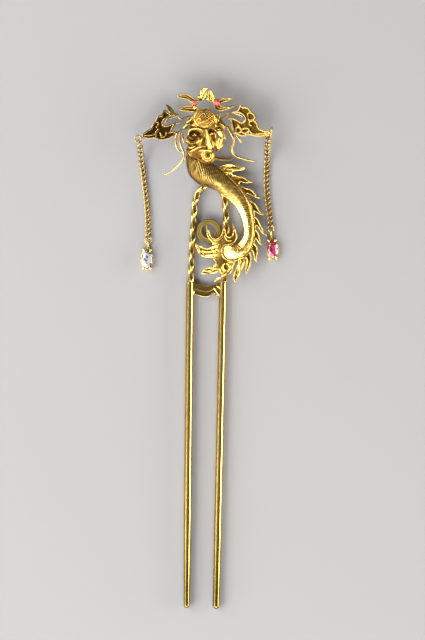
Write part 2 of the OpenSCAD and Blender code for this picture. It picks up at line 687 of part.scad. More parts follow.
module panel(sheet, rows, tilt) {
    linear_extrude(sheet_t)
        offset(delta = weld)
            union() {
                polygon(lay(stretch(sheet, tilt)));
                wires(rows, tilt);
                children();
            }
    translate([0, 0, sheet_t])
        linear_extrude(wire_h - sheet_t)
            offset(delta = weld)
                union() {
                    wires(rows, tilt);
                    children();
                }
}

// Eyelets: the left one lies flat, and the right one stands nearly on edge
eyelet_left = [138, 139];
eyelet_left_r = 0.94;
eyelet_right = [269.9, 133.2];
eyelet_right_r = 1.64;
eyelet_right_turn = 66;
eyelet_right_lean = 80;
eyelet_z = panel_z + wire_h / 2;
hinge = at([hinge_x, grid_y0])[0];
eyelet_join = [267, 133];
eyelet_right_z = eyelet_z + (at(eyelet_join)[0] - hinge) * tan(right_tilt) - 0.88 * eyelet_right_r;

module scroll_left() {
    color(gold) {
        translate([0, 0, panel_z])
            panel(SHEET_LEFT, WIRES_LEFT, 0)
                polygon(smooth_loop(lay(ear_leaf), 3));
        flat_ring(at3(eyelet_left[0], eyelet_left[1], eyelet_z), eyelet_left_r, eyelet_wire);
    }
}

module scroll_right() {
    color(gold) {
        translate([hinge, 0, panel_z])
            rotate([0, -right_tilt, 0])
                translate([-hinge, 0, 0])
                    panel(SHEET_RIGHT, WIRES_RIGHT, right_tilt) {
                        polygon(ribbon(smooth(lay(stretch(cone_route, right_tilt)), 3),
                            cone_w[0], cone_w[1]));
                        translate(at(stretch([small_ring], right_tilt)[0]))
                            difference() {
                                circle(r = small_ring_r + wire_w / 2, $fn = 32);
                                circle(r = small_ring_r - wire_w / 2, $fn = 32);
                            }
                    }
        translate(at3(eyelet_right[0], eyelet_right[1], eyelet_right_z))
            rotate([0, 0, eyelet_right_turn])
                rotate([eyelet_right_lean, 0, 0])
                    rotate_extrude($fn = 48)
                        translate([eyelet_right_r, 0])
                            circle(d = eyelet_wire, $fn = 24);
    }
}

// Chains. A route runs from the first link to the last one, with heights in mm. The last link is
// twisted further, so that it clears the hoop it holds.
chain_rest = 0.56;
CHAIN_LEFT = [[139.9, 144.8, 3.1], [140.5, 149.5, 2.5], [141, 154.5, 1.75], [141.5, 160, 1.05],
    [142.2, 166, 0.66], [143.3, 173, chain_rest], [145.3, 190, chain_rest],
    [146.9, 206, chain_rest], [147.9, 222, chain_rest], [148.1, 232, 0.62], [148.2, 237.7, 0.8]];
CHAIN_RIGHT = [[268.75, 136.3, 4.99], [267.85, 140.2, 4.23], [267.6, 143, 3.7], [267.5, 148, 2.58],
    [267.3, 153, 1.6], [267.1, 158, 0.92], [266.9, 163.5, 0.63], [266.6, 170, chain_rest],
    [266.4, 178, chain_rest], [266.6, 188, chain_rest], [267.4, 198, chain_rest],
    [268.8, 210, chain_rest], [270.2, 220.5, 0.62], [270.6, 225.9, 0.8]];
last_twist = 0.48;
link_rings = 12;
link_sides = 5;

function link_centre(t, twist) = [link_half_l * cos(t), link_half_w * sin(t), twist * sin(2 * t)];
function link_ring(t, twist) = let (
    c = link_centre(t, twist),
    h = unit(link_centre(t + 1, twist) - link_centre(t - 1, twist)),
    out = unit([c[0] / link_half_l, c[1] / link_half_w, 0]),
    s = unit(out - (out * h) * h),
    v = cross(h, s))
    [for (k = [0:link_sides - 1]) let (a = -360 * k / link_sides)
        c + link_wire / 2 * (cos(a) * s + sin(a) * v)];

module curb_link(twist) {
    skin([for (k = [0:link_rings - 1]) link_ring(360 * k / link_rings, twist)], closed = true);
}

// The place on a route at a given distance from its start
function along(p, d, i = 0) = let (seg = norm(p[i + 1] - p[i]))
    d <= seg || i >= len(p) - 2 ? p[i] + (p[i + 1] - p[i]) * d / seg : along(p, d - seg, i + 1);

module curb_chain(table) {
    route = smooth([for (p = table) at3(p[0], p[1], p[2])], 4);
    total = run_to(route, len(route) - 1);
    count = round(total / link_pitch);
    spacing = total / count;
    for (k = [0:count - 1]) {
        place = along(route, (k + 0.5) * spacing);
        dir = unit(along(route, (k + 0.6) * spacing) - along(route, (k + 0.4) * spacing));
        translate(place)
            rotate([0, -asin(dir[2]), atan2(dir[1], dir[0])])
                curb_link(k == count - 1 ? last_twist : link_twist);
    }
}

first_ring_r = 0.84;
first_ring_left = [139.33, 143.1];
first_ring_turn = -72;

module chain_left() {
    color(gold) {
        curb_chain(CHAIN_LEFT);
        upright_ring(at3(first_ring_left[0], first_ring_left[1], eyelet_z),
            first_ring_turn, first_ring_r, hoop_wire);
    }
}

module chain_right() {
    color(gold)
        curb_chain(CHAIN_RIGHT);
}

// Hoops below the chains, nearly flat. Columns: place, radius of the middle of the wire.
hoop_z = 0.82;
hoop_roll = 20;
HOOP_LEFT = [[148.2, 240.2], 0.98];
HOOP_RIGHT = [[270.7, 228.3], 0.92];

module hoop(row) {
    color(gold)
        translate(at3(row[0][0], row[0][1], hoop_z))
            rotate([0, hoop_roll, 0])
                flat_ring([0, 0, 0], row[1], hoop_wire);
}

module hoop_left() {
    hoop(HOOP_LEFT);
}

module hoop_right() {
    hoop(HOOP_RIGHT);
}

// Drops. Columns: middle of the stone, lean of its length from upright, place of the bail loop.
DROP_LEFT = [[146.9, 259], -1.5, [148.2, 243.6]];
DROP_RIGHT = [[272.5, 249.2], 3, [271.0, 231.7]];
bail_r = 0.62;
collar_extra = [1.3, 0.36];
collar_wall = [0.65, 0.55];
collar_below = 0.4;
claw_place = [0.33, 0.02];
claw_rise = 0.55;
stem_w = 0.55;
stem_overlap = 0.6;
ground = 0.01;

// Outline of a marquise: two arcs whose points are rounded off
marquise_round = 0.5;

module marquise(l, w) {
    r = (l * l + w * w) / (4 * w);
    offset(r = marquise_round, $fn = 24)
        offset(delta = -marquise_round)
            intersection() {
                translate([r - w / 2, 0])
                    circle(r = r, $fn = 64);
                translate([w / 2 - r, 0])
                    circle(r = r, $fn = 64);
            }
}

// Setting: a collar below the stone, four claws, and a stem that carries the bail loop
module setting(drop) {
    middle = drop[0];
    bail = drop[2];
    collar_l = stone_l + collar_extra[0];
    collar_w = stone_w + collar_extra[1];
    stem_start = collar_l / 2 - stem_overlap;
    stem_end = (middle[1] - bail[1]) * step - bail_r + hoop_wire / 8;
    translate(at3(middle[0], middle[1], ground))
        rotate([0, 0, drop[1]]) {
            linear_extrude(girdle_z - collar_below)
                difference() {
                    marquise(collar_l, collar_w);
                    marquise(collar_l - 2 * collar_wall[0], collar_w - 2 * collar_wall[1]);
                }
            for (end = [-1, 1], side = [-1, 1])
                translate([side * stone_w * claw_place[0], end * (stone_l / 2 + claw_place[1]), 0])
                    cylinder(d = claw_d, h = girdle_z + claw_rise, $fn = 24);
        }
    translate([at(bail)[0] - stem_w / 2, at(middle)[1] + stem_start, ground])
        cube([stem_w, stem_end - stem_start, girdle_z - collar_below]);
    upright_ring(at3(bail[0], bail[1], hoop_z), 90, bail_r, hoop_wire);
}

module setting_left() {
    color(gold)
        setting(DROP_LEFT);
}

module setting_right() {
    color(gold)
        setting(DROP_RIGHT);
}

// Marquise cut. Columns of CUT: share of the outline, height above the girdle's middle in mm.
CUT = [[0.06, -0.98], [0.5, -0.55], [1, -0.06], [1, 0.06], [0.78, 0.36], [0.56, 0.56]];
cut_points = 16;

function marquise_point(a, share) = let (x = cos(a), y = sin(a))
    share * [stone_w / 2 * sign(x) * pow(abs(x), 1.25), stone_l / 2 * y];
function cut_ring(row, i) = [for (k = [0:cut_points - 1])
    let (p = marquise_point(-360 * (k + (i % 2) / 2) / cut_points, row[0]))
        [p[0], p[1], girdle_z + row[1]]];

module stone(drop) {
    translate(at3(drop[0][0], drop[0][1], 0))
        rotate([0, 0, drop[1]])
            skin([for (i = [0:len(CUT) - 1]) cut_ring(CUT[i], i < 3 ? 0 : i % 2)]);
}

module stone_left() {
    color("white")
        stone(DROP_LEFT);
}

module stone_right() {
    color("crimson")
        stone(DROP_RIGHT);
}

fork();
twisted_arch();
coil_ring();
fish_body();
dorsal_fins();
tail_fin();
head();
forehead_cap();
crest();
antler_left();
antler_right();
bead_left();
bead_right();
collar_left();
whiskers_left();
whiskers_right();
scroll_left();
scroll_right();
chain_left();
chain_right();
hoop_left();
hoop_right();
setting_left();
setting_right();
stone_left();
stone_right();
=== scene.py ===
# The looks of a gold hairpin: two prongs, a twisted arch, a dragon-fish, and two chains with drops.
# Tables hold places on the sketch grid of the CAD source: X to the right and Y down, as on paper.
# Work is done in millimetres, and a finished mesh is scaled to metres in the frame of the CAD parts.
import math

import bpy
import numpy as np
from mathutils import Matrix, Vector


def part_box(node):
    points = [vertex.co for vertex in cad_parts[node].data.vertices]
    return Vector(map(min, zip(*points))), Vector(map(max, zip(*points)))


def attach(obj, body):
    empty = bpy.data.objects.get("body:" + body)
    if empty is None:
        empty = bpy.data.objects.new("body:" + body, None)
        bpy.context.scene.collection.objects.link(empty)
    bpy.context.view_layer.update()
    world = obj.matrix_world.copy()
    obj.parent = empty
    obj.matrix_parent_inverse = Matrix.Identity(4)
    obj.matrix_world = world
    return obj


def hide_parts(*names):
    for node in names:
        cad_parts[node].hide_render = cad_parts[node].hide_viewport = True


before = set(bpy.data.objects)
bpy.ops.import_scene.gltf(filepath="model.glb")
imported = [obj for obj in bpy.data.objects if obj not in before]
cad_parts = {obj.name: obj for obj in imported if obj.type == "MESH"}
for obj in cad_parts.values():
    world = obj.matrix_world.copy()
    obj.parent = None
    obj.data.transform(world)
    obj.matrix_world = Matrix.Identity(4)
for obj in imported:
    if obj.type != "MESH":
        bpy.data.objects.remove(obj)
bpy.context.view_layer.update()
scene = bpy.context.scene

MM = 0.001
STEP = 151 / 521
GRID_MIDDLE = np.array([206.25, 348.75])
DECK = 2.06
PRONG_D = 2.1


# Places and curves

def at(places):
    """Grid places, with or without a height in millimetres, turned into millimetres."""
    spots = np.array(places, float)
    spots[..., 0] = (spots[..., 0] - GRID_MIDDLE[0]) * STEP
    spots[..., 1] = (GRID_MIDDLE[1] - spots[..., 1]) * STEP
    return spots


def smooth(points, steps):
    """A smooth curve through the points, the same one as in the CAD source."""
    p = np.asarray(points, float)
    count = len(p)
    curve = []
    for i in range(count - 1):
        a, b, c, d = p[max(i - 1, 0)], p[i], p[i + 1], p[min(i + 2, count - 1)]
        for k in range(steps):
            t = k / steps
            bend = (2 * a - 5 * b + 4 * c - d) * t * t + (3 * b - a - 3 * c + d) * t ** 3
            curve.append((2 * b + (c - a) * t + bend) / 2)
    curve.append(p[-1])
    return np.array(curve)


def lengths(route):
    """Distance from the start of a route at each of its points."""
    gaps = np.linalg.norm(np.diff(route, axis=0), axis=1)
    return np.concatenate([[0], np.cumsum(gaps)])


def held(values):
    """Values held between 0 and 1."""
    return np.clip(values, 0, 1)


def full_turn(steps):
    """Angles once round, in equal steps."""
    return np.linspace(0, 2 * math.pi, steps, endpoint=False)


def near(spots, line):
    """How far each spot is from a line as seen from above."""
    gap = np.full(len(spots), 1e9)
    for start, end in zip(line[:-1], line[1:]):
        leg = (end - start)[:2]
        leg_length = max(np.hypot(*leg), 1e-9)
        offset = spots[:, :2] - start[:2]
        share = held(offset @ leg / leg_length ** 2)
        gap = np.minimum(gap, np.hypot(*(offset - share[:, None] * leg).T))
    return gap


def ripple(spots, scale, seed):
    """A smooth wavering between -1 and 1, with features of about the given size in millimetres."""
    rng = np.random.default_rng(seed)
    total = np.zeros(len(spots))
    for _ in range(6):
        way = rng.normal(size=spots.shape[1])
        way *= 2.2 / scale / np.linalg.norm(way) * rng.uniform(0.7, 1.3)
        total += np.sin(spots @ way + rng.uniform(0, 6.28))
    return total / 6


# Shapes

BALL_SIDES = 36
WIRE_SIDES = 14
RING_STEPS = 48
RAMP_FOOT = 3.2


def skin(rings, loop=False):
    """Points and faces of a closed skin over rings of points."""
    rings = np.asarray(rings)
    count, sides = rings.shape[:2]
    faces = []
    for i in range(count if loop else count - 1):
        j = (i + 1) % count
        for k in range(sides):
            n = (k + 1) % sides
            faces.append((i * sides + k, i * sides + n, j * sides + n, j * sides + k))
    if not loop:
        faces.append(tuple(range(sides - 1, -1, -1)))
        faces.append(tuple((count - 1) * sides + k for k in range(sides)))
    return rings.reshape(-1, 3), faces


def frames(route):
    """Heading, side and upward vectors along a route."""
    heading = np.gradient(route, axis=0)
    heading /= np.linalg.norm(heading, axis=1)[:, None]
    span = route[-1] - route[0]
    steep = abs(span[2]) > 0.85 * np.linalg.norm(span)
    side = np.cross(heading, [0, 1, 0] if steep else [0, 0, 1])
    side /= np.linalg.norm(side, axis=1)[:, None]
    return heading, side, np.cross(side, heading)


def strand(route, start_r, end_r, sides=WIRE_SIDES):
    """A round strand along a route, with rounded ends."""
    heading, side, up = frames(route)
    radii = np.linspace(start_r, end_r, len(route))
    turns = full_turn(sides)
    circle = np.cos(turns)[:, None, None] * side + np.sin(turns)[:, None, None] * up
    circle = circle.transpose(1, 0, 2)
    rings = []
    for lean in (1.5, 1.0, 0.5):
        beyond = heading[0] * start_r * math.sin(lean)
        rings.append(route[0] - beyond + circle[0] * start_r * math.cos(lean))
    rings.extend(route[i] + circle[i] * radii[i] for i in range(len(route)))
    for lean in (0.5, 1.0, 1.5):
        beyond = heading[-1] * end_r * math.sin(lean)
        rings.append(route[-1] + beyond + circle[-1] * end_r * math.cos(lean))
    return skin(rings)


def ring_of_wire(centre, normal, radius, wire):
    """A closed ring of round wire."""
    normal = np.array(normal, float) / np.linalg.norm(normal)
    first = np.cross(normal, [0.3, 0.9, 0.1])
    first /= np.linalg.norm(first)
    second = np.cross(normal, first)
    rings = []
    around = full_turn(WIRE_SIDES)[:, None]
    for turn in full_turn(RING_STEPS):
        out = math.cos(turn) * first + math.sin(turn) * second
        rings.append(centre + out * radius + wire / 2 * (np.cos(around) * out + np.sin(around) * normal))
    return skin(rings, loop=True)


def ball(centre, half):
    """A rounded swelling with three half sizes."""
    rings = []
    turns = full_turn(BALL_SIDES)
    for lean in np.linspace(-1.52, 1.52, 20):
        ring = np.stack([np.cos(turns) * math.cos(lean), np.sin(turns) * math.cos(lean),
                         np.full(BALL_SIDES, math.sin(lean))], axis=1)
        rings.append(centre + ring * half)
    return skin(rings)


def ramp(low_line, high_line, outer_line):
    """A slope that rises from one line to another, falls off beyond it, and is closed down to a foot."""
    lines = [smooth(at(line), 5) for line in (low_line, high_line, outer_line)]
    rings = []
    for low, high, outer in zip(*lines):
        rings.append([low, high, outer, [*outer[:2], RAMP_FOOT], [*low[:2], RAMP_FOOT]])
    return skin(rings)


def joined(shapes):
    """Several shapes as one list of points and one of faces."""
    spots = []
    faces = []
    base = 0
    for part_spots, part_faces in shapes:
        spots.append(part_spots)
        faces.extend(tuple(v + base for v in face) for face in part_faces)
        base += len(part_spots)
    return np.concatenate(spots), faces


def mesh_of(spots, faces):
    """A mesh in millimetres."""
    mesh = bpy.data.meshes.new("work")
    mesh.from_pydata(spots.tolist(), [], faces)
    mesh.validate()
    return mesh


def copy_of(node):
    """A copy of a CAD node's mesh in millimetres."""
    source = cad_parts[node].data
    return mesh_of(spots_of(source) / MM, faces_of(source))


def in_scene(name, content):
    """A new object in the scene, made of a mesh, lamp or camera."""
    thing = bpy.data.objects.new(name, content)
    scene.collection.objects.link(thing)
    return thing


def shaped(mesh, steps):
    """The mesh after modifiers. Each step: the kind of modifier and its settings."""
    body = in_scene("work", mesh)
    for kind, settings in steps:
        modifier = body.modifiers.new(kind, kind)
        for name, value in settings.items():
            setattr(modifier, name, value)
    bpy.context.view_layer.update()
    done = bpy.data.meshes.new_from_object(body.evaluated_get(bpy.context.evaluated_depsgraph_get()))
    bpy.data.objects.remove(body)
    return done


def melt(mesh, grain, passes):
    """One skin over everything in a mesh, with softened corners, as a casting or soldered work has."""
    return shaped(mesh, [("REMESH", {"mode": "VOXEL", "voxel_size": grain}),
                         ("SMOOTH", {"factor": 0.5, "iterations": passes})])


def spots_of(mesh):
    spots = np.zeros(len(mesh.vertices) * 3)
    mesh.vertices.foreach_get("co", spots)
    return spots.reshape(-1, 3)


def faces_of(mesh):
    return [tuple(face.vertices) for face in mesh.polygons]


def move(mesh, spots):
    """Puts the points of a mesh at new spots."""
    mesh.vertices.foreach_set("co", spots.ravel())
    mesh.update()


def mark(mesh, name, values):
    """Gives each point of a mesh a value that a material can read."""
    layer = mesh.attributes.new(name, "FLOAT", "POINT")
    layer.data.foreach_set("value", values.astype(np.float32))


def normals_of(mesh):
    normals = np.zeros(len(mesh.vertices) * 3)
    mesh.vertex_normals.foreach_get("vector", normals)
    return normals.reshape(-1, 3)


def push(mesh, lift):
    """Moves each point of a mesh along its normal, and only where it faces upwards."""
    normals = normals_of(mesh)
    facing = held((normals[:, 2] - 0.1) / 0.3)
    move(mesh, spots_of(mesh) + normals * (lift * facing)[:, None])


def ease(mesh, passes):
    """Evens a mesh out a little: each point moves half the way to the middle of its neighbours."""
    count = len(mesh.vertices)
    edges = np.zeros(len(mesh.edges) * 2, int)
    mesh.edges.foreach_get("vertices", edges)
    first, second = edges.reshape(-1, 2).T
    neighbours = np.bincount(edges, minlength=count)
    spots = spots_of(mesh)
    for _ in range(passes):
        for k in range(3):
            total = np.bincount(first, spots[second, k], count)
            total += np.bincount(second, spots[first, k], count)
            spots[:, k] = (spots[:, k] + total / neighbours) / 2
    move(mesh, spots)


def relief(spots, rows):
    """Height of chased ridges and grooves. Each row: width and rise in millimetres, then the places."""
    lift = np.zeros(len(spots))
    for width, rise, places in rows:
        line = smooth(at(places), 5)
        low = line.min(axis=0) - width
        high = line.max(axis=0) + width
        close = np.all((spots[:, :2] > low[:2]) & (spots[:, :2] < high[:2]), axis=1)
        if close.any():
            gap = near(spots[close], line)
            lift[close] += rise * held(1 - (2 * gap / width) ** 2) ** 2
    return lift


def combed(spots, rows):
    """Fine strokes that follow lines. Each row: width of the field, stroke gap and depth in mm, places."""
    lift = np.zeros(len(spots))
    for width, stroke_gap, depth, places in rows:
        line = smooth(at(places), 5)
        gap = near(spots, line)
        field = held(1 - (2 * gap / width) ** 2)
        lift -= depth * field * (0.5 - 0.5 * np.cos(2 * math.pi * gap / stroke_gap))
    return lift


def strokes(spots, turn, stroke_gap, waver):
    """Straight strokes of a chasing tool seen from above: 1 on the ridges and 0 in the grooves."""
    phase = spots[:, 0] * math.cos(turn) + spots[:, 1] * math.sin(turn) + waver
    return np.abs((phase / stroke_gap) % 1 - 0.5) * 2


def polish_and_shade_by_height(heights, low, high, least):
    """How much of the gold colour is kept: 1 on the rims, and least on the sunken ground, which is painted
    darker as shade with tarnish.
    """
    return least + (1 - least) * held((heights - low) / (high - low))


def place(name, mesh, material, node, polish_and_painted_shade=1):
    """Turns a mesh in millimetres into a piece of the object that stands for a CAD node."""
    mark(mesh, "polish_and_painted_shade", np.ones(len(mesh.vertices)) * polish_and_painted_shade)
    mesh.polygons.foreach_set("use_smooth", np.ones(len(mesh.polygons), bool))
    mesh.materials.clear()
    mesh.materials.append(material)
    move(mesh, spots_of(mesh) * MM)
    piece = in_scene(name, mesh)
    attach(piece, "root")
    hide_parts(node)


# Materials

def colour(hex_code):
    """An sRGB hex code as a linear colour."""
    channels = [int(hex_code[i:i + 2], 16) / 255 for i in (0, 2, 4)]
    linear = [c / 12.92 if c <= 0.04045 else ((c + 0.055) / 1.055) ** 2.4 for c in channels]
    return (*linear, 1.0)


def add(tree, kind, settings, links=()):
    """Adds a shader node. Settings name its sockets or properties. Links: (socket, node, output)."""
    node = tree.nodes.new("ShaderNode" + kind)
    for name, value in settings.items():
        if isinstance(name, int) or name in node.inputs:
            node.inputs[name].default_value = value
        else:
            setattr(node, name, value)
    for socket, source, output in links:
        tree.links.new(source.outputs[output], node.inputs[socket])
    return node


def new_material(name, settings):
    """A material with its tree and its shader. Settings are the constant values of the shader."""
    material = bpy.data.materials.new(name)
    material.use_nodes = True
    shader = material.node_tree.nodes["Principled BSDF"]
    for socket, value in settings.items():
        shader.inputs[socket].default_value = value
    return material, material.node_tree, shader


# How much rougher the gold is where its colour is darkened as painted shade with tarnish
DULL = 0.16


def gold(name, bright, shade_and_tarnish, rough_low, rough_high, recess_mm, grain_mm, bump_mm, brushed=False):
    """Gold whose colour is darkened towards a brown in the hollows, found by ambient occlusion, and where a
    piece's polish value is low: painted shade, with some tarnish. Brushed gold has fine strokes that
    follow the piece: its mesh says how far along and across it each point is, in mm."""
    material, tree, shader = new_material(name, {"Metallic": 1.0})
    places = add(tree, "TexCoord", {})
    # Painted shade: ambient occlusion darkens the colour in the hollows, together with tarnish
    open_sky = add(tree, "AmbientOcclusion", {"samples": 12, "Distance": recess_mm * MM})
    out_of_recess_shade = add(tree, "MapRange", {"From Min": 0.25, "From Max": 0.8}, [("Value", open_sky, "AO")])
    polish_and_painted_shade = add(tree, "Attribute", {"attribute_name": "polish_and_painted_shade"})
    clean_and_unshaded = add(tree, "Math", {"operation": "MULTIPLY"}, [(0, out_of_recess_shade, "Result"), (1, polish_and_painted_shade, "Fac")])
    patch = add(tree, "TexNoise", {"Scale": 1 / (2.5 * MM), "Detail": 3.0}, [("Vector", places, "Object")])
    tint = add(tree, "Mix", {"data_type": "RGBA", 6: colour(shade_and_tarnish), 7: colour(bright)},
               [("Factor", clean_and_unshaded, "Value")])
    tree.links.new(tint.outputs[2], shader.inputs["Base Color"])
    rough = add(tree, "MapRange",
                {"From Min": 0.3, "From Max": 0.7, "To Min": rough_low + DULL, "To Max": rough_high + DULL},
                [("Value", patch, "Fac")])
    rubbed = add(tree, "Math", {"operation": "MULTIPLY_ADD", 1: -DULL},
                 [(0, clean_and_unshaded, "Value"), (2, rough, "Result")])
    tree.links.new(rubbed.outputs["Value"], shader.inputs["Roughness"])
    if brushed:
        along = add(tree, "Attribute", {"attribute_name": "along"})
        across = add(tree, "Attribute", {"attribute_name": "across"})
        stroke_way = add(tree, "CombineXYZ", {}, [("X", along, "Fac"), ("Y", across, "Fac")])
        stretched = add(tree, "VectorMath",
                        {"operation": "MULTIPLY", 1: (1 / grain_mm, 0.1 / grain_mm, 1)},
                        [(0, stroke_way, "Vector")])
        grain = add(tree, "TexNoise", {"Scale": 1.0}, [("Vector", stretched, "Vector")])
    else:
        grain = add(tree, "TexNoise", {"Scale": 1 / (grain_mm * MM)}, [("Vector", places, "Object")])
    bump = add(tree, "Bump", {"Distance": bump_mm * MM}, [("Height", grain, "Fac")])
    tree.links.new(bump.outputs["Normal"], shader.inputs["Normal"])
    return material


# Cast and hand-polished high-carat gold: mirror-like on the ridges, and painted brown in the hollows as
# painted shade with tarnish
cast_gold = gold("cast_gold_hand_polished", "E8BF60", "50340C", 0.2, 0.3, 1.0, 0.5, 0.006)
# Chased sheet gold: a broad soft shine broken up by the punch, and painted brown between the strokes as
# painted shade with tarnish
chased_gold = gold("sheet_gold_chased", "E8C062", "4A2C0A", 0.27, 0.36, 0.5, 0.35, 0.008)
# The same sheet on the fish, burnished across with a narrow tool, so that the shine spreads along it
scaled_gold = gold("sheet_gold_burnished_across", "EEC66A", "3C290A", 0.22, 0.3, 0.8, 0.13, 0.07, True)
# Drawn gold wire: even, thin and less rubbed, so a little duller than the castings
wire_gold = gold("gold_wire_drawn", "BE9C52", "4A300C", 0.2, 0.3, 0.5, 0.3, 0.003)
# Prongs of thick drawn rod, burnished lengthwise
rod_gold = gold("gold_rod_burnished", "E8C068", "4A4014", 0.1, 0.15, 1.0, 1.2, 0.003)
# Wires soldered on a sheet: bright lines over a ground that is painted dark brown, as painted shade
# standing in for the dark behind the openwork
openwork_gold = gold("gold_wirework_on_shade_painted_sheet", "C4A25A", "4A3610", 0.2, 0.3, 0.5, 0.4, 0.003)
# Darkened coil: satin and olive, with little left of the shine
dark_gold = gold("gold_wire_darkened", "927C42", "6A5826", 0.36, 0.46, 0.6, 0.4, 0.004)


# Fork: two round prongs and the bridge between their shoulders

PRONGS = [
    [[189.7, 282], [186.5, 608.2], 0.8],
    [[222.95, 282], [216.0, 609.2], 0.95]]
TAPER_SHARE = 0.26
NECK_L = 5.2
NECK_CUT = 0.05
ROD_SIDES = 48
# Round the rods, from -1 on their left side to 1 on their right side, and how much of the gold colour is
# kept there: painted side light, bright on the right and painted shade on the left and middle
ROD_SIDE_PAINTED_LIGHT = [[-1, -0.85, -0.35, -0.15, 0.4], [0.9, 0.35, 0.35, 0.8, 1]]


def prong(top, tip, tip_r):
    top = at(top)
    tip = at(tip)
    reach = np.linalg.norm(tip - top)
    rod_r = PRONG_D / 2
    way = (tip - top) / reach
    side = np.array([-way[1], way[0]])
    down = [0.0, 0.02, 0.06, 0.12]
    radii = [rod_r - 0.17, rod_r - 0.1, rod_r - 0.062, rod_r - NECK_CUT]
    for share in np.linspace(0.01, 1, 90):
        place_down = share * (reach - tip_r)
        taper = max(place_down / reach - (1 - TAPER_SHARE), 0) / (TAPER_SHARE - tip_r / reach)
        down.append(place_down)
        neck = max(1 - place_down / NECK_L, 0)
        radii.append(rod_r + (tip_r - rod_r) * taper - NECK_CUT * neck)
    for lean in np.linspace(0.1, 1.55, 10):
        down.append(reach - tip_r + tip_r * math.sin(lean))
        radii.append(tip_r * math.cos(lean))
    turns = full_turn(ROD_SIDES)
    rings = []
    for d, r in zip(down, radii):
        flat = top + way * d + np.outer(np.cos(turns) * r, side)
        rings.append(np.column_stack([flat, rod_r + np.sin(turns) * r]))
    return skin(rings)


BRIDGE_TOP = [
    [190, 283], [194, 282.3], [200, 284], [206, 285.8], [212, 285.3], [218, 283.2], [222, 282.8]]
BRIDGE_LOW = [
    [190, 293], [194.5, 294.5], [199.5, 296.2], [205, 297.2], [209.5, 296.2], [213.6, 293], [216, 295.4],
    [222, 295]]
# Height of the bridge's front from its upper to its lower edge: share of the way, height in mm
BRIDGE_BANDS = [
    [0, 1.3], [0.04, 1.48], [0.1, 1.5], [0.3, 1.53], [0.46, 1.56], [0.5, 1.55], [0.56, 1.49], [0.62, 1.46],
    [0.8, 1.46], [0.9, 1.5], [0.95, 1.56], [0.98, 1.5], [1, 1.3]]
BRIDGE_ROWS = 40
BRIDGE_FOOT = 0.52
# Share of the way down the bridge, and how much of the gold colour is kept there; the rest is painted
# shade, most along the lower band, while the lower edge keeps the full colour
BRIDGE_PAINTED_SHADE = [[0, 0.45, 0.58, 0.9, 0.96], [0.6, 0.35, 0.25, 0.35, 1]]
# A small rib and a bead of solder between the bridge and the right rod
GUSSET = [[214.6, 288.4, 1.35], [216.6, 291.6, 1.45], [219.4, 295, 1.35]]
SPARK = [[217.6, 286.4, 1.5], [219, 287, 1.6], [220.4, 287.8, 1.6]]


def bridge():
    upper = smooth(at(BRIDGE_TOP), 12)
    lower = smooth(at(BRIDGE_LOW), 12)
    bands = np.array(BRIDGE_BANDS)
    shares = np.linspace(0, 1, BRIDGE_ROWS)
    heights = np.interp(shares, bands[:, 0], bands[:, 1])
    rings = []
    for t in np.linspace(0, 1, 70):
        a = [np.interp(t, np.linspace(0, 1, len(upper)), upper[:, k]) for k in (0, 1)]
        b = [np.interp(t, np.linspace(0, 1, len(lower)), lower[:, k]) for k in (0, 1)]
        front = [[a[0] + (b[0] - a[0]) * s, a[1] + (b[1] - a[1]) * s, z] for s, z in zip(shares, heights)]
        rings.append(front + [[*b, BRIDGE_FOOT], [*a, BRIDGE_FOOT]])
    return skin(rings)


def make_fork():
    gusset = strand(smooth(at(GUSSET), 6), 0.3, 0.22)
    spark = strand(smooth(at(SPARK), 5), 0.25, 0.3)
    bulge = ball(at([192.7, 292, PRONG_D / 2]), [0.6, 0.85, 0.65])
    shapes = [prong(*row) for row in PRONGS] + [bridge(), gusset, spark, bulge]
    spots, faces = joined(shapes)
    # Painted light on the rods: the right side keeps the bright colour, and elsewhere the colour is
    # darkened as painted shade, more towards the tips
    polish_and_painted_shade = np.ones(len(spots))
    first = 0
    for rod_spots, _ in shapes[:2]:
        last = first + len(rod_spots)
        right = np.cos(np.tile(full_turn(ROD_SIDES), len(rod_spots) // ROD_SIDES))
        tip_painted_shade = held((-spots[first:last, 1] - 42) / 28)
        clean_and_unshaded = np.interp(right, *ROD_SIDE_PAINTED_LIGHT)
        polish_and_painted_shade[first:last] = clean_and_unshaded * (1 - 0.8 * tip_painted_shade)
        first = last
    # The bridge is painted darker than the rods as painted shade, most of all along its lower band
    count = len(shapes[2][0])
    shares = np.concatenate([np.linspace(0, 1, BRIDGE_ROWS), [1, 0]])
    shares = np.tile(shares, count // len(shares) + 1)[:count]
    polish_and_painted_shade[first:first + count] = np.interp(shares, *BRIDGE_PAINTED_SHADE)
    place("fork_rods", mesh_of(spots, faces), rod_gold, "fork", polish_and_painted_shade)


# Twisted arch of square wire

ARCH_ROUTE = [
    [190.9, 281.7], [191.1, 273], [191.5, 262], [191.7, 250], [192.5, 240], [193.1, 230], [193.8, 220],
    [194.4, 210], [195.4, 200], [199, 191.5], [204.5, 186], [211.5, 184.2], [218.5, 187], [223, 193],
    [224.8, 201], [225.7, 212], [226.4, 224], [226.7, 236], [226.3, 248], [225.5, 260], [224.7, 271],
    [224.4, 281.7]]
TWIST_D = 1.84
TWIST_LEAD = 15.6
# How round the square wire is: 2 is round, and 1 has sharp corners
TWIST_ROUND = 1.22
ARCH_Z = 1.04
# Less rubbed than the prongs, so some tarnish is left
ARCH_POLISH = 0.6


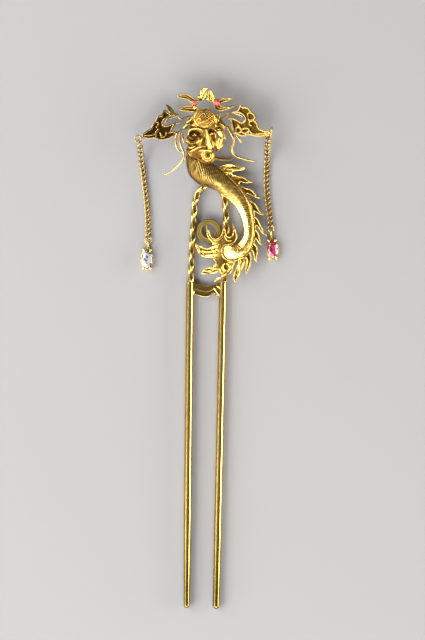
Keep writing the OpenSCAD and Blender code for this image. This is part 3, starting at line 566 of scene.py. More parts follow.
def make_arch():
    flat = smooth(at(ARCH_ROUTE), 14)
    route = np.column_stack([flat, np.full(len(flat), ARCH_Z)])
    run = lengths(route)
    _, side, up = frames(route)
    turns = full_turn(32)
    radii = np.abs(np.cos(turns)) ** TWIST_ROUND + np.abs(np.sin(turns)) ** TWIST_ROUND
    radii = radii ** (-1 / TWIST_ROUND)
    rings = []
    for i in range(len(route)):
        angle = turns + 2 * math.pi * run[i] / TWIST_LEAD
        out = np.outer(np.cos(angle) * radii, side[i]) + np.outer(np.sin(angle) * radii, up[i])
        rings.append(route[i] + out * TWIST_D / 2)
    spots, faces = skin(rings)
    place("arch_twisted_wire", mesh_of(spots, faces), rod_gold, "twisted_arch", ARCH_POLISH)


# Fish body. Columns: place of the belly edge, place of the back edge, rise above the deck in mm

BODY = [
    [[186.5, 153.5], [208.5, 156.5], 1.2], [[185.9, 158.5], [211.5, 162.6], 2.1],
    [[187.1, 169.3], [218, 167.6], 2.9], [[190.2, 176.6], [224.5, 172.8], 3.3],
    [[198.2, 183.9], [231.5, 179.3], 3.3], [[208, 187.3], [237.5, 185.2], 3],
    [[217, 191.2], [242.7, 191.3], 2.7], [[226, 198], [247.2, 199], 2.4],
    [[234.5, 205.8], [250.4, 207], 2.1], [[240.3, 216], [252.5, 216], 1.8],
    [[243.3, 228], [253.4, 228], 1.7], [[242.8, 236.5], [252.8, 238.5], 1.7],
    [[239.5, 241.6], [250.6, 247.6], 1.8], [[235, 244.3], [245.6, 254.8], 1.95],
    [[230.3, 244.8], [238, 258.3], 1.8], [[226.4, 245.7], [230.6, 259.6], 1.2],
    [[223.5, 248.4], [225, 257.2], 0.7], [[222.7, 251.4], [223.1, 254], 0.35]]
BODY_SIDES = 91
# The belly side slopes by about 33 degrees, and meets the crown of the body in a soft edge
BELLY_SLOPE = 0.65
EDGE_SHARPNESS = 14
# Strokes of the chasing tool, drawn 0.6 mm apart, which is coarser than the real ones of about 0.3 mm
STROKE_GAP = 0.6
STROKE_DEPTH = 0.16
# The wire round the body: its first and last points on the back and the belly edge, height and radius
SEAM_START = 100
SEAM_ROUND_END = 80
SEAM_LIFT = 1.15
SEAM_R = 0.25


def make_body():
    belly = smooth(at([row[0] for row in BODY]), 30)
    back = smooth(at([row[1] for row in BODY]), 30)
    rise = smooth([[row[2]] for row in BODY], 30)[:, 0]
    middle = (belly + back) / 2
    run = lengths(middle)
    arc = np.linspace(0, math.pi, BODY_SIDES)
    rings = []
    for i in range(len(belly)):
        half = (belly[i] - back[i]) / 2
        flat_ring = middle[i] + np.outer(np.cos(arc), half)
        # Beyond the neck the belly side is a nearly flat slope. The blunt end has a flat top instead
        end = held((run[i] - run[-1] + 6) / 4)
        flat = held((run[i] - 11) / 8)
        lean = BELLY_SLOPE * (1 - end) * np.linalg.norm(half) / rise[i]
        slope = 1 - lean * np.maximum(np.cos(arc), 0)
        high = np.sin(arc) ** (1 - 0.4 * end)
        level = -np.log(np.exp(-EDGE_SHARPNESS * high) + np.exp(-EDGE_SHARPNESS * slope)) / EDGE_SHARPNESS
        height = DECK + rise[i] * ((1 - flat) * high + flat * held(level))
        rings.append(np.column_stack([flat_ring, height]))
    rings = np.array(rings)
    spots = rings.reshape(-1, 3)
    along = np.repeat(run, len(arc))
    across = np.tile(arc, len(belly))
    side = np.cos(across)
    waver = ripple(spots, 1.2, 5)
    # The strokes run across the body, and along it near the head
    phase = along + 0.15 * waver + 0.1 * ripple(spots, 0.6, 12)
    cross_stroke = np.abs((phase / STROKE_GAP) % 1 - 0.5) * 2
    fur_stroke = strokes(spots, 0.25, STROKE_GAP, 0.35 * waver)
    fur = held((13 - along) / 5)
    stroke = fur * fur_stroke + (1 - fur) * cross_stroke
    # The belly side is polished almost smooth from the middle of the body on, with a ragged border
    ragged = side + 0.2 + 0.5 * ripple(spots, 0.5, 8)
    to_end = along - run[-1]
    ragged += 0.8 * held((to_end + 9) / 4) + 0.5 * held((to_end + 5) / 3)
    smooth_side = held((along - 17) / 6) * held(ragged / 0.4)
    dashes = np.clip(0.9 + 1.2 * ripple(spots, 0.5, 9), 0, 1.5)
    calm = 1 - 0.7 * held((to_end + 12) / 5) - 0.2 * fur
    depth = STROKE_DEPTH * calm * dashes * (1 - 0.94 * smooth_side) * np.sin(across) ** 0.4
    groove = held(1.25 * (1 - stroke)) ** 1.3
    centre = np.repeat(np.column_stack([middle, np.full(len(middle), DECK)]), len(arc), axis=0)
    outward = spots - centre
    outward /= np.maximum(np.linalg.norm(outward, axis=1), 1e-6)[:, None]
    spots = spots - outward * (depth * groove)[:, None]
    # Painted shade: the back side is painted darker than the belly, and each groove keeps some painted
    # shade with tarnish. The belly side of the neck is darker too
    kept_tarnish_and_shade = 0.2 + 0.8 * calm * groove * held(dashes)
    neck = 0.6 * held((15 - along) / 5) * held((side - 0.1) / 0.4)
    back_painted_shade = held(0.2 - side) * held(0.3 + along / 25)
    polish_and_painted_shade = 1 - (0.7 * back_painted_shade + kept_tarnish_and_shade) * (1 - smooth_side) - neck
    polish_and_painted_shade = np.clip(polish_and_painted_shade, 0.05, 1)
    # The raised wire along the back edge and round the blunt end of the body
    lifts = np.clip(0.6 * rise, 0.5, SEAM_LIFT)
    outs = np.sqrt(1 - np.clip(lifts / rise, 0, 0.95) ** 2)[:, None] + 0.04
    back_wire = np.column_stack([middle + (back - middle) * outs, DECK + lifts])
    belly_wire = np.column_stack([middle + (belly - middle) * outs, DECK + lifts])
    seam_route = np.concatenate([back_wire[SEAM_START:], belly_wire[:SEAM_START:-1][:SEAM_ROUND_END]])
    seam = strand(seam_route, SEAM_R, SEAM_R, 10)
    mesh = mesh_of(*joined([skin(spots.reshape(rings.shape)), seam]))
    width = np.repeat(np.linalg.norm(belly - back, axis=1), len(arc))
    seam_count = len(seam[0])
    for name, values in (("along", along), ("across", across / math.pi * width)):
        mark(mesh, name, np.concatenate([values, np.zeros(seam_count)]))
    polish_and_painted_shade = np.concatenate([polish_and_painted_shade, np.ones(seam_count)])
    place("body_chased_scales", mesh, scaled_gold, "fish_body", polish_and_painted_shade)


# Fins, tail, horns and crest: castings with softened rims, melted from the CAD plates

def near_place(spots, place_on_grid):
    """Distance of each spot from a place, in grid steps."""
    middle = at(place_on_grid)
    return np.hypot(spots[:, 0] - middle[0], spots[:, 1] - middle[1]) / STEP


def round_patch(spots, place_on_grid, reach, sharpness):
    """A round patch: 1 in its middle, and 0 beyond its reach in grid steps."""
    return held(sharpness * (1 - near_place(spots, place_on_grid) / reach))


def flutes(spots, rows):
    """Height of curved flutes with one broad flank. Each row: place of the leaf's middle and its reach
    on the grid, middle of the turn, flute gap and depth in mm, and 1 if the flank faces outwards."""
    lift = np.zeros(len(spots))
    for leaf, reach, turn_middle, gap, depth, outwards in rows:
        share = (near_place(spots, turn_middle) * STEP / gap) % 1
        if not outwards:
            share = 1 - share
        lift -= depth * round_patch(spots, leaf, reach, 2.5) * np.minimum(share / 0.8, (1 - share) / 0.2)
    return lift


def make_casting(name, node, grain, ground, least, lines, comb, flute_rows, stroke_turn, clean_and_unshaded):
    """Melts a CAD plate into a casting. For the columns, see CASTINGS."""
    mesh = melt(copy_of(node), grain, 3)
    rim = ground + RIM
    spots = spots_of(mesh)
    height = spots[:, 2].copy()
    lift = relief(spots, lines) + combed(spots, comb)
    # The flutes press the whole thickness down, so that their sides stay clean
    carved = flutes(spots, flute_rows)
    foot = height.min()
    spots[:, 2] = foot + (height - foot) * (1 + carved / (rim - foot))
    move(mesh, spots)
    sunken = held((rim - 0.05 - height) / 0.15) * (height > ground - 0.12)
    hatch = strokes(spots, stroke_turn, 0.5, 0.15 * ripple(spots, 1.0, 2))
    bright = np.zeros(len(spots))
    for leaf, reach, *_ in flute_rows + FIN_PAINTED_HIGHLIGHT:
        bright = np.maximum(bright, round_patch(spots, leaf, reach, 2.5))
    push(mesh, lift + 0.05 * sunken * (hatch - 0.5) * (1 - bright))
    ease(mesh, 2)
    # Painted shade with tarnish: the sunken ground and its hatch grooves are darkened, and the leaves in
    # bright keep the full colour as painted highlights
    polish_and_painted_shade = polish_and_shade_by_height(height + lift, ground, rim, least)
    polish_and_painted_shade = np.where(height < ground - 0.15, 0.8, polish_and_painted_shade - 0.3 * sunken * (1 - hatch))
    polish_and_painted_shade = np.maximum(polish_and_painted_shade, bright * np.clip(1 + 3 * lift + 0.6 * carved, 0.2, 1))
    place(name, mesh, cast_gold, node, np.clip(clean_and_unshaded * polish_and_painted_shade, 0.05, 1))


# Columns of the line tables: width and rise of the line in mm, then its places
FIN_LINES = [
    [0.6, -0.25, [[225, 169.4], [230, 167.8], [235, 167.4], [240, 168]]],
    [0.8, 0.3, [[224, 173], [228, 172.4], [231, 171.6]]],
    [0.5, 0.2, [[247, 258], [247.8, 266]]],
    [0.7, 0.28, [[241.4, 261], [240, 267], [237, 275]]]]
TAIL_LINES = [
    [0.8, 0.32, [[197.5, 246.8], [202, 250], [207, 251.6], [212, 249.4], [217, 245.5]]],
    [0.75, 0.32, [[199.5, 250.2], [204, 253.6], [210, 254.4], [216, 252.2]]],
    [0.6, 0.3, [[216.5, 249], [219, 244.5]]],
    [0.6, 0.28, [[205, 271.4], [210, 270.4], [216, 268.8]]],
    [0.5, 0.28, [[217, 278.3], [222.5, 275.6], [228, 271.8], [231, 265.5]]],
    [0.4, 0.22, [[214, 240.5], [218.5, 239.8], [222.6, 236.8]]],
    [0.4, 0.22, [[224.5, 236], [227.5, 240.5], [231.5, 240.5]]]]
TAIL_COMB = [
    [3, 0.42, 0.12, [[222, 243], [217, 252], [216, 262]]],
    [2, 0.42, 0.1, [[206, 268.6], [213, 269]]]]
# Columns of the flute tables: see flutes()
FIN_FLUTES = [
    [[234, 167.6], 14, [234, 110], 1.3, 0.5, 1],
    [[238.5, 268], 10, [262, 270], 1.1, 0.4, 1]]
# Where a fin keeps the full gold colour as a painted highlight. Columns: place, reach on the grid
FIN_PAINTED_HIGHLIGHT = [[[234, 168], 14]]
TAIL_FLUTES = [
    [[208, 251], 14, [207, 222], 1.2, 0.55, 1],
    [[210.5, 271], 10, [214, 240], 1, 0.45, 1],
    [[227, 271], 9, [212, 258], 1, 0.45, 1]]
CREST_FLUTES = [
    [[204, 95], 9, [222, 104], 1.1, 0.25, 0],
    [[211, 96], 8, [226, 96], 1.3, 0.25, 0]]
CREST_LINES = [
    [0.5, 0.28, [[205.6, 90.2], [203.4, 94], [201.6, 98]]],
    [0.4, 0.22, [[202.2, 91.4], [200.8, 95.4]]],
    [0.4, 0.25, [[211, 92], [211.4, 96], [210.6, 100.4]]]]
ANTLER_LINES = [
    [0.42, 0.24, [[180.7, 96.6], [185.7, 96.8], [189.3, 99], [194, 102]]],
    [0.42, 0.2, [[184, 109.6], [189, 108.6], [194, 109.4]]],
    [0.4, 0.2, [[218, 101], [224, 100.2], [230, 98.9]]],
    [0.5, 0.24, [[216.6, 106.4], [219, 108.6], [223, 108.8], [228, 107.9]]]]
HORN_Z = 4.2
# Columns: name, node, grain of its skin and height of its ground in mm, how much gold colour the ground
# keeps under painted shade with tarnish, tables of lines, comb and flutes, turn of the strokes on the
# ground, and how much of the gold colour it keeps in all
CASTINGS = [
    ["fins_cast", "dorsal_fins", 0.08, DECK + 0.65, 0.15, FIN_LINES, [], FIN_FLUTES, 1, 1],
    ["tail_cast", "tail_fin", 0.08, DECK + 0.65, 0.3, TAIL_LINES, TAIL_COMB, TAIL_FLUTES, 2.3, 1],
    ["crest_cast", "crest", 0.07, HORN_Z + 0.6, 0.4, CREST_LINES, [], CREST_FLUTES, 0.5, 1],
    ["antler_left_cast", "antler_left", 0.07, HORN_Z + 0.8, 0.1, ANTLER_LINES, [], [], 1.3, 0.75],
    ["antler_right_cast", "antler_right", 0.07, HORN_Z + 0.8, 0.1, ANTLER_LINES, [], [], 1.3, 0.75]]
# Height of the rims above the ground
RIM = 0.3


# Openwork panels: wires soldered on a thin sheet. Columns: the CAD node's side, its tilt in degrees and
# how much of the gold colour its wires keep; the tilted right panel is painted darker as painted shade
PANELS = [["left", 0, 1], ["right", 18, 0.7]]
PANEL_Z = 2.95
SHEET_TOP = 0.3
HINGE_X = 228
EYELET_X = 265.5
DULL_LEAF = [165.6, 106.6]
DULL_LEAF_REACH = 6.5


def make_panels():
    hinge = at([HINGE_X, 0])[0]
    for side, tilt, clean_and_unshaded in PANELS:
        mesh = melt(copy_of("scroll_" + side), 0.08, 3)
        spots = spots_of(mesh)
        lean = math.radians(tilt)
        height = (spots[:, 2] - PANEL_Z) * math.cos(lean) - (spots[:, 0] - hinge) * math.sin(lean)
        # Painted shade: the sheet between the wires is painted dark, standing in for the dark seen through
        # the openwork
        polish_and_painted_shade = clean_and_unshaded * polish_and_shade_by_height(height, SHEET_TOP + 0.1, SHEET_TOP + 0.3, 0.0)
        polish_and_painted_shade[spots[:, 0] > at([EYELET_X, 0])[0]] = 1
        polish_and_painted_shade[near_place(spots, DULL_LEAF) < DULL_LEAF_REACH] = 0.2
        place("panel_" + side + "_wirework", mesh, openwork_gold, "scroll_" + side, polish_and_painted_shade)


# Head. Columns of LUMPS: place with its height, and three half sizes in mm
LUMPS = [
    [[193, 141, 4.5], [2.1, 1.7, 1.3]], [[200, 151.2, 4.3], [4, 2.6, 2.1]],
    [[219.6, 140.5, 4.3], [1.2, 2.8, 1.1]], [[195, 134.3, 5], [1.2, 0.8, 0.75]],
    [[212.3, 133.2, 5.9], [0.8, 0.7, 0.6]], [[203.5, 145, 5.2], [2.2, 2.2, 1.4]],
    [[207.3, 156.2, 5.35], [1.65, 1.4, 0.9]], [[211.6, 156, 5.4], [1, 1.3, 0.9]]]
# Columns of LOCKS: half thickness at the start and at the end in mm, then places with heights
LOCKS = [
    [0.75, 0.6, [[194.5, 117.5, 4.6], [189, 123, 4.6], [184.5, 128, 4.5]]],
    [0.7, 0.6, [[216.5, 118.5, 4.9], [221, 123.5, 4.8], [224, 127, 4.7]]],
    [0.35, 0.25, [[214.5, 119, 5.2], [217.2, 115, 5]]],
    [0.35, 0.22, [[218.5, 119, 5], [220.6, 113, 4.7]]],
    [0.25, 0.35, [[219.5, 120, 4.6], [224, 117.6, 4.5], [227.6, 116, 4.5], [229.6, 113, 4.5]]],
    [0.4, 0.45, [[188, 135, 5.2], [191, 130.5, 5.5], [197, 129.4, 5.8], [203, 131, 5.9]]],
    [0.5, 0.5, [[187.5, 138.5, 4.8], [193, 141.5, 5.3], [199.5, 138.8, 5.6]]],
    [0.5, 0.55, [[217, 126.8, 5.7], [220.5, 126.2, 5.5], [223.5, 129.5, 4.8]]],
    [0.3, 0.35, [[192, 155.5, 5.3], [201, 150.6, 6.3], [212, 151, 6.5]]],
    [0.4, 0.4, [[198.5, 160, 5], [205, 162.5, 5.6], [211, 162.3, 5.6], [216, 158.5, 5]]],
    [0.3, 0.25, [[222.5, 132, 4.4], [224, 135.5, 4.3], [225.6, 139.5, 4.2]]],
    [0.5, 0.25, [[214, 158.5, 4.9], [222, 160, 4.6], [229, 159.8, 4.3], [233.2, 156.8, 4.2]]]]
# The nose and the right cheek: planes that face left. Rows: foot line, crest and outer line, with heights
RAMPS = [
    [[[203.4, 131, 5.8], [203.6, 137, 5.4], [204.3, 143, 5.1], [205.4, 149, 5]],
     [[206.8, 130, 6.6], [209, 137, 6.7], [211, 143, 6.6], [212.2, 149.2, 6.3]],
     [[208.6, 130, 6.1], [211.4, 137, 5.9], [213.4, 143, 5.8], [214.2, 149.2, 5.6]]],
    [[[215.6, 132.5, 5.6], [215.4, 139, 5.3], [215.4, 146, 4.85], [216.2, 152, 4.4]],
     [[220.6, 131.5, 6.45], [222.5, 137, 6.2], [221.4, 144, 5.7], [218.4, 152.4, 5]],
     [[222, 131.5, 4.8], [224.2, 137, 4.8], [223, 144.5, 4.5], [219.4, 153, 4.2]]]]
HEAD_LINES = [
    [1.5, -0.55, [[191, 133.6], [194.5, 133], [198.5, 134.6]]],
    [1, -0.25, [[188, 138.6], [192.5, 140.4], [197.5, 139.4]]],
    [0.5, 0.4, [[192.8, 133.2], [197.2, 136.4]]],
    [0.45, 0.25, [[188.8, 135], [189.7, 131.3], [193.8, 129.3], [199.3, 129.5], [203, 131.8]]],
    [1.1, -0.5, [[209.4, 133.2], [211, 130.8], [213.4, 131.8]]],
    [0.6, -0.2, [[214.4, 133], [214.6, 141], [215, 150]]],
    [0.7, 0.25, [[206.4, 131], [208.6, 138], [211.4, 149]]],
    [0.45, 0.3, [[186.5, 141], [192, 144], [198.4, 142.6], [203, 139.5]]],
    [0.45, 0.35, [[200.2, 145], [203, 139.5]]],
    [0.45, 0.3, [[190.5, 152], [195.6, 149.2], [202, 147.2], [206, 147.6]]],
    [0.35, -0.16, [[193, 153.6], [201, 149.2], [208, 147.8], [213, 149.2]]],
    [0.45, 0.25, [[187.5, 147], [191, 148.4], [196, 146.4]]],
    [0.5, -0.25, [[187.5, 149], [191.5, 150], [197, 147.8]]],
    [0.5, 0.28, [[215.6, 131], [219.5, 129.6], [222.4, 132]]],
    [0.5, -0.3, [[215.8, 128.6], [220, 127.8], [223.6, 130.4]]],
    [0.4, 0.25, [[215.6, 125.6], [219.4, 124.4], [223.6, 126.6]]],
    [0.5, 0.28, [[184.6, 127.4], [189.5, 124.4], [195, 126.6]]],
    [0.5, -0.3, [[184, 130], [189, 127.4], [194.6, 128]]],
    [0.4, 0.25, [[194.7, 114], [192, 119], [187, 123]]],
    [0.4, -0.2, [[197.4, 160.8], [204, 163.4], [211, 163.2]]],
    [0.4, 0.22, [[216.5, 152], [221, 153.6], [225, 152]]]]
HEAD_COMB = [
    [2.4, 0.6, 0.03, [[221.6, 134], [221, 141], [219, 149]]],
    [3, 0.45, 0.1, [[187, 147], [189.6, 153], [195, 158], [201, 160]]],
    [2.6, 0.45, 0.1, [[196, 157], [203, 161.5], [211, 163]]],
    [1.6, 0.4, 0.08, [[189, 144.6], [195, 146], [201, 144.4]]],
    [2.2, 0.4, 0.08, [[191, 121], [187, 125.4]]],
    [2, 0.4, 0.08, [[218, 120], [222.5, 125]]],
    [1.6, 0.4, 0.08, [[216, 158.5], [223, 160], [230, 158.8]]]]
# Painted shade on the head, in the eye hollows, the nostril, the grooves and on the left side of the face.
# Columns: place, reach on the grid, how much of the gold colour is kept
HEAD_PAINTED_SHADE = [
    [[193.4, 134], 4.6, 0.05], [[197.5, 134.8], 3.2, 0.05], [[190.5, 140], 4.2, 0.3],
    [[195.5, 140.4], 4.5, 0.3], [[189, 149], 6, 0.3], [[197, 147], 5, 0.3], [[201.5, 142], 4, 0.4],
    [[214.3, 136], 2, 0.75], [[214.5, 141], 2, 0.75], [[214.7, 146.5], 2, 0.75],
    [[211.2, 132.4], 2.8, 0.4], [[207.3, 156.2], 3.4, 0.3], [[196, 154.6], 6, 0.4], [[202.4, 134], 5, 0.3],
    [[192, 144], 6, 0.3], [[196, 127.4], 5, 0.5], [[187, 136], 4, 0.4], [[202.5, 158], 5, 0.5],
    [[187, 122], 5, 0.5], [[218.5, 128.6], 3, 0.6]]
# Where the head keeps the full gold colour as painted highlights: the right side of the nose, the right
# cheek and the right brow. Columns: place, reach on the grid
HEAD_PAINTED_HIGHLIGHT = [
    [[209.5, 137], 5], [[210.3, 145], 5.5], [[220.5, 137], 8], [[219.6, 145], 8], [[216.5, 118], 5]]
# Small hammer marks. Columns: place, reach on the grid, rise in mm
HAMMERED = [
    [[221, 139], 6, 0.035], [[219.6, 147], 5, 0.035], [[203, 161.6], 7, 0.05], [[186.5, 127], 6, 0.08]]
# Rings of the nostril: radius and half width in mm
SWIRL_TURNS = [[1.5, 0.26], [0.95, 0.22]]
SWIRL_CENTRE = [207.3, 156.2]


def make_head():
    core = copy_of("head")
    shapes = [(spots_of(core), faces_of(core))]
    shapes += [ball(at(middle), half) for middle, half in LUMPS]
    shapes += [strand(smooth(at(places), 5), start_r, end_r) for start_r, end_r, places in LOCKS]
    shapes += [ramp(*row) for row in RAMPS]
    mesh = melt(mesh_of(*joined(shapes)), 0.1, 9)
    spots = spots_of(mesh)
    lift = relief(spots, HEAD_LINES) + combed(spots, HEAD_COMB)
    swirl = at(SWIRL_CENTRE)
    from_swirl = np.hypot(spots[:, 0] - swirl[0], spots[:, 1] - swirl[1])
    for radius, half_width in SWIRL_TURNS:
        lift += 0.13 * held(1 - ((from_swirl - radius) / half_width) ** 2)
    lift += 0.02 * ripple(spots, 0.6, 3)
    for middle, reach, rise in HAMMERED:
        lift += rise * round_patch(spots, middle, reach, 1.6) * ripple(spots, 0.45, 11)
    push(mesh, lift)
    # Painted shade: the low parts of the head are darkened and the ridges kept bright, and more shade is
    # painted in the eye hollows, the grooves and the nostril
    polish_and_painted_shade = np.clip(0.3 + 6 * np.minimum(lift, 0.1), 0.05, 1)
    for middle, reach in HEAD_PAINTED_HIGHLIGHT:
        polish_and_painted_shade = np.maximum(polish_and_painted_shade, round_patch(spots, middle, reach, 1.8))
    for middle, reach, clean_and_unshaded in HEAD_PAINTED_SHADE:
        kept_tarnish_and_shade = round_patch(spots, middle, reach, 1.6) * (1 - 0.8 * held(lift / 0.12))
        polish_and_painted_shade *= 1 - (1 - clean_and_unshaded) * kept_tarnish_and_shade
    place("head_chased", mesh, chased_gold, "head", polish_and_painted_shade)


# Forehead cap: a domed disc covered with granules and scrolls of fine wire
CAP_SIDES = 260
CAP_CENTRE = [204.5, 119]
CAP_R = 3.02
CAP_RISE = 1.7
CAP_BASE = 6.06
CAP_SQUASH = [1.06, 0.93]
# The raised rim, the ground within it, and how far that lies below the dome
CAP_RIM_R = 2.85
CAP_GROUND_R = 2.75
CAP_SUNK = 0.12
# Granules in rows, drawn 0.5 mm apart, which is coarser than the real ones of about 0.25 mm
GRANULE_GAP = 0.5
GRANULE_RISE = 0.14
CAP_LINES = [
    [0.5, 0.3, [[198, 124.4], [202.4, 123.4], [208, 120.4], [213.4, 116]]],
    [0.35, 0.2, [[199, 118], [201, 115.4], [204, 114.6], [205.4, 116.8], [203.6, 118.4], [202, 117.2]]],
    [0.35, 0.2, [[206.4, 119], [208.6, 117.6], [210, 115.2], [208.6, 113.4], [206.8, 114.2], [207.4, 116]]],
    [0.35, 0.2, [[196.6, 121], [198, 119.4], [200.4, 119.6], [200.8, 121.6], [199, 122.2]]],
    [0.3, 0.18, [[201, 126.6], [205, 127], [209, 125.6], [212.6, 122]]],
    [0.3, 0.18, [[203.6, 124.8], [207, 124.6], [210.6, 121.8]]],
    [0.3, 0.2, [[198.4, 115.6], [200.4, 112.8], [203.4, 111.8]]],
    [0.3, 0.2, [[205.4, 111.6], [209, 112], [212, 114.4]]]]


def make_cap():
    ball_r = (CAP_R ** 2 + CAP_RISE ** 2) / (2 * CAP_RISE)
    centre = at(CAP_CENTRE)
    reaches = np.concatenate([[0.02], np.linspace(0.06, CAP_R, 72)])[::-1]
    turns = full_turn(CAP_SIDES)
    rings = []
    for r in reaches:
        z = CAP_BASE + CAP_RISE - ball_r + math.sqrt(ball_r ** 2 - r ** 2)
        x = centre[0] + CAP_SQUASH[0] * r * np.cos(turns)
        y = centre[1] + CAP_SQUASH[1] * r * np.sin(turns)
        rings.append(np.column_stack([x, y, np.full(CAP_SIDES, z)]))
    spots = np.array(rings).reshape(-1, 3)
    reach = np.repeat(reaches, CAP_SIDES)
    inner = held((CAP_GROUND_R - reach) / 0.2)
    lift = relief(spots, CAP_LINES)
    u = spots[:, 0] / GRANULE_GAP * 2 * math.pi
    v = spots[:, 1] / GRANULE_GAP * 2 * math.pi
    warp = ripple(spots, 0.8, 4)
    lift += GRANULE_RISE * held(np.sin(u + warp) * np.sin(v - warp))
    lift = lift * inner - CAP_SUNK * inner
    lift += 0.2 * held(1 - ((reach - CAP_RIM_R) / 0.2) ** 2)
    spots[:, 2] = np.minimum(spots[:, 2] + lift, CAP_BASE + CAP_RISE)
    foot = rings[0].copy()
    foot[:, 2] = CAP_BASE
    shape = np.concatenate([foot[None], spots.reshape(-1, CAP_SIDES, 3)])
    # Painted shade with tarnish: the sunken ground between the granules and wires is darkened, and the foot
    # ring half so
    polish_and_painted_shade = np.clip(0.05 + 3.5 * (lift + CAP_SUNK), 0.05, 1)
    polish_and_painted_shade = np.concatenate([np.full(CAP_SIDES, 0.5), polish_and_painted_shade])
    place("cap_granulated", mesh_of(*skin(shape)), cast_gold, "forehead_cap", polish_and_painted_shade)


# Whiskers, rings and chains

# Columns: side, radius at the root and at the tip in mm, then places with heights
WHISKERS = [
    ["left", 0.36, 0.22, [
        [177.3, 134, 4.1], [175.7, 139, 4.1], [176.2, 145, 4], [178, 149.6, 3.8], [180.8, 152.2, 3.7]]],
    ["left", 0.32, 0.22, [
        [179.8, 133.5, 4.15], [179.8, 140, 4.2], [181, 146, 4.2], [183.2, 151, 4.2], [184.4, 156, 4.1],
        [182.6, 161.3, 4], [178, 166.4, 3.7], [172, 171, 3.4], [164.8, 174.8, 3.1]]],
    ["left", 0.28, 0.2, [[182.4, 133.8, 4.15], [183, 138.5, 4.2], [184, 143, 4.2]]],
    ["right", 0.37, 0.22, [
        [227.4, 127.6, 4.35], [230.6, 133, 4.4], [233.4, 138.5, 4.4], [233.3, 144, 4.3], [231.7, 149, 4.2],
        [233.6, 154.4, 4], [238.5, 157.6, 3.8], [246, 159.8, 3.5], [254.2, 161.4, 3.2]]],
    ["right", 0.32, 0.22, [[236.8, 136.4, 4.1], [239.2, 139.4, 4], [241, 142.4, 3.8]]]]


def thicken(mesh, growth):
    """Makes wires thicker by a growth in mm on all sides, but not beyond the box that they fill."""
    spots = spots_of(mesh)
    low = spots.min(axis=0)
    high = spots.max(axis=0)
    move(mesh, np.clip(spots + normals_of(mesh) * growth, low, high))


def make_wires():
    for side in ("left", "right"):
        shapes = [strand(smooth(at(places), 8), root_r, tip_r)
                  for row_side, root_r, tip_r, places in WHISKERS if row_side == side]
        node = "whiskers_" + side
        place(node + "_drawn", mesh_of(*joined(shapes)), wire_gold, node)
    mesh = melt(copy_of("coil_ring"), 0.07, 5)
    spots = spots_of(mesh)
    middle = (spots.min(axis=0) + spots.max(axis=0)) / 2
    reach = np.hypot(spots[:, 0] - middle[0], spots[:, 1] - middle[1])
    # The inner turn of the coil is rubbed brighter than the others
    polish_and_painted_shade = np.interp(reach, [reach.min() + 0.15, reach.min() + 0.55], [1, 0.25])
    place("coil_wound", mesh, dark_gold, "coil_ring", polish_and_painted_shade)


LINK_GROWTH = 0.05
LINK_POLISH = 0.6


def make_chains():
    for side in ("left", "right"):
        node = "chain_" + side
        # Welded first, because a CAD mesh holds the points between its faces more than once
        mesh = shaped(copy_of(node), [("WELD", {"merge_threshold": 0.0005}), ("SUBSURF", {"levels": 1})])
        thicken(mesh, LINK_GROWTH)
        place(node + "_links", mesh, wire_gold, node, LINK_POLISH)


# Columns: place of the hoop, radius of the middle of its wire
HOOPS = {"left": [[148.2, 240.2], 0.98], "right": [[270.7, 228.3], 0.92]}
HOOP_Z = 0.82
HOOP_ROLL = 20
LOOP_WIRE = 0.38


def make_hoops():
    roll = math.radians(HOOP_ROLL)
    for side, row in HOOPS.items():
        ring = ring_of_wire(at(row[0] + [HOOP_Z]), [math.sin(roll), 0, math.cos(roll)], row[1], LOOP_WIRE)
        place("hoop_" + side + "_wire", mesh_of(*ring), wire_gold, "hoop_" + side)


# Claw settings. Columns: middle of the stone, lean of its length in degrees
DROPS = {"left": [[146.9, 259], -1.5], "right": [[272.5, 249.2], 3]}
STONE_L = 5.3
STONE_W = 3.1
GIRDLE_Z = 1.35
CLAW_GRAIN = 0.06
# A claw from its foot to its tip. Columns: share of the stone's width, way past its end, height in mm
CLAW = [[0.33, 0.02, 0], [0.33, 0.02, 0.3], [0.31, -0.1, 0.48], [0.27, -0.42, 0.42]]


def make_settings():
    for side, (middle, lean) in DROPS.items():
        centre = at(middle)
        turn = math.radians(lean)
        spin = np.array([[math.cos(turn), -math.sin(turn)], [math.sin(turn), math.cos(turn)]])
        base = melt(copy_of("setting_" + side), CLAW_GRAIN, 2)
        shapes = [(spots_of(base), faces_of(base))]
        for end in (-1, 1):
            for flank in (-1, 1):
                route = []
                for out, past, rise in CLAW:
                    corner = [flank * STONE_W * out, end * (STONE_L / 2 + past)]
                    route.append([*(spin @ corner + centre), GIRDLE_Z + rise])
                shapes.append(strand(smooth(route, 5), 0.27, 0.2))
        mesh = melt(mesh_of(*joined(shapes)), CLAW_GRAIN, 2)
        place("setting_" + side + "_claws", mesh, cast_gold, "setting_" + side)


def make_beads():
    for node in ("bead_left", "bead_right", "collar_left"):
        low, high = np.array(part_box(node))
        bead = mesh_of(*ball((low + high) / 2 / MM, (high - low) / 2 / MM))
        if node == "collar_left":
            place("collar_gold_bead", bead, cast_gold, node)
        else:
            place(node + "_polished", bead, bead_pink, node)


# Polished coral-pink glass bead: glossy, a little light goes into it
bead_pink, _, _ = new_material("pink_glass_bead_polished", {
    "Base Color": colour("BC4048"), "Roughness": 0.16,
    "Subsurface Weight": 0.2, "Subsurface Radius": (0.0006, 0.0002, 0.0002)})


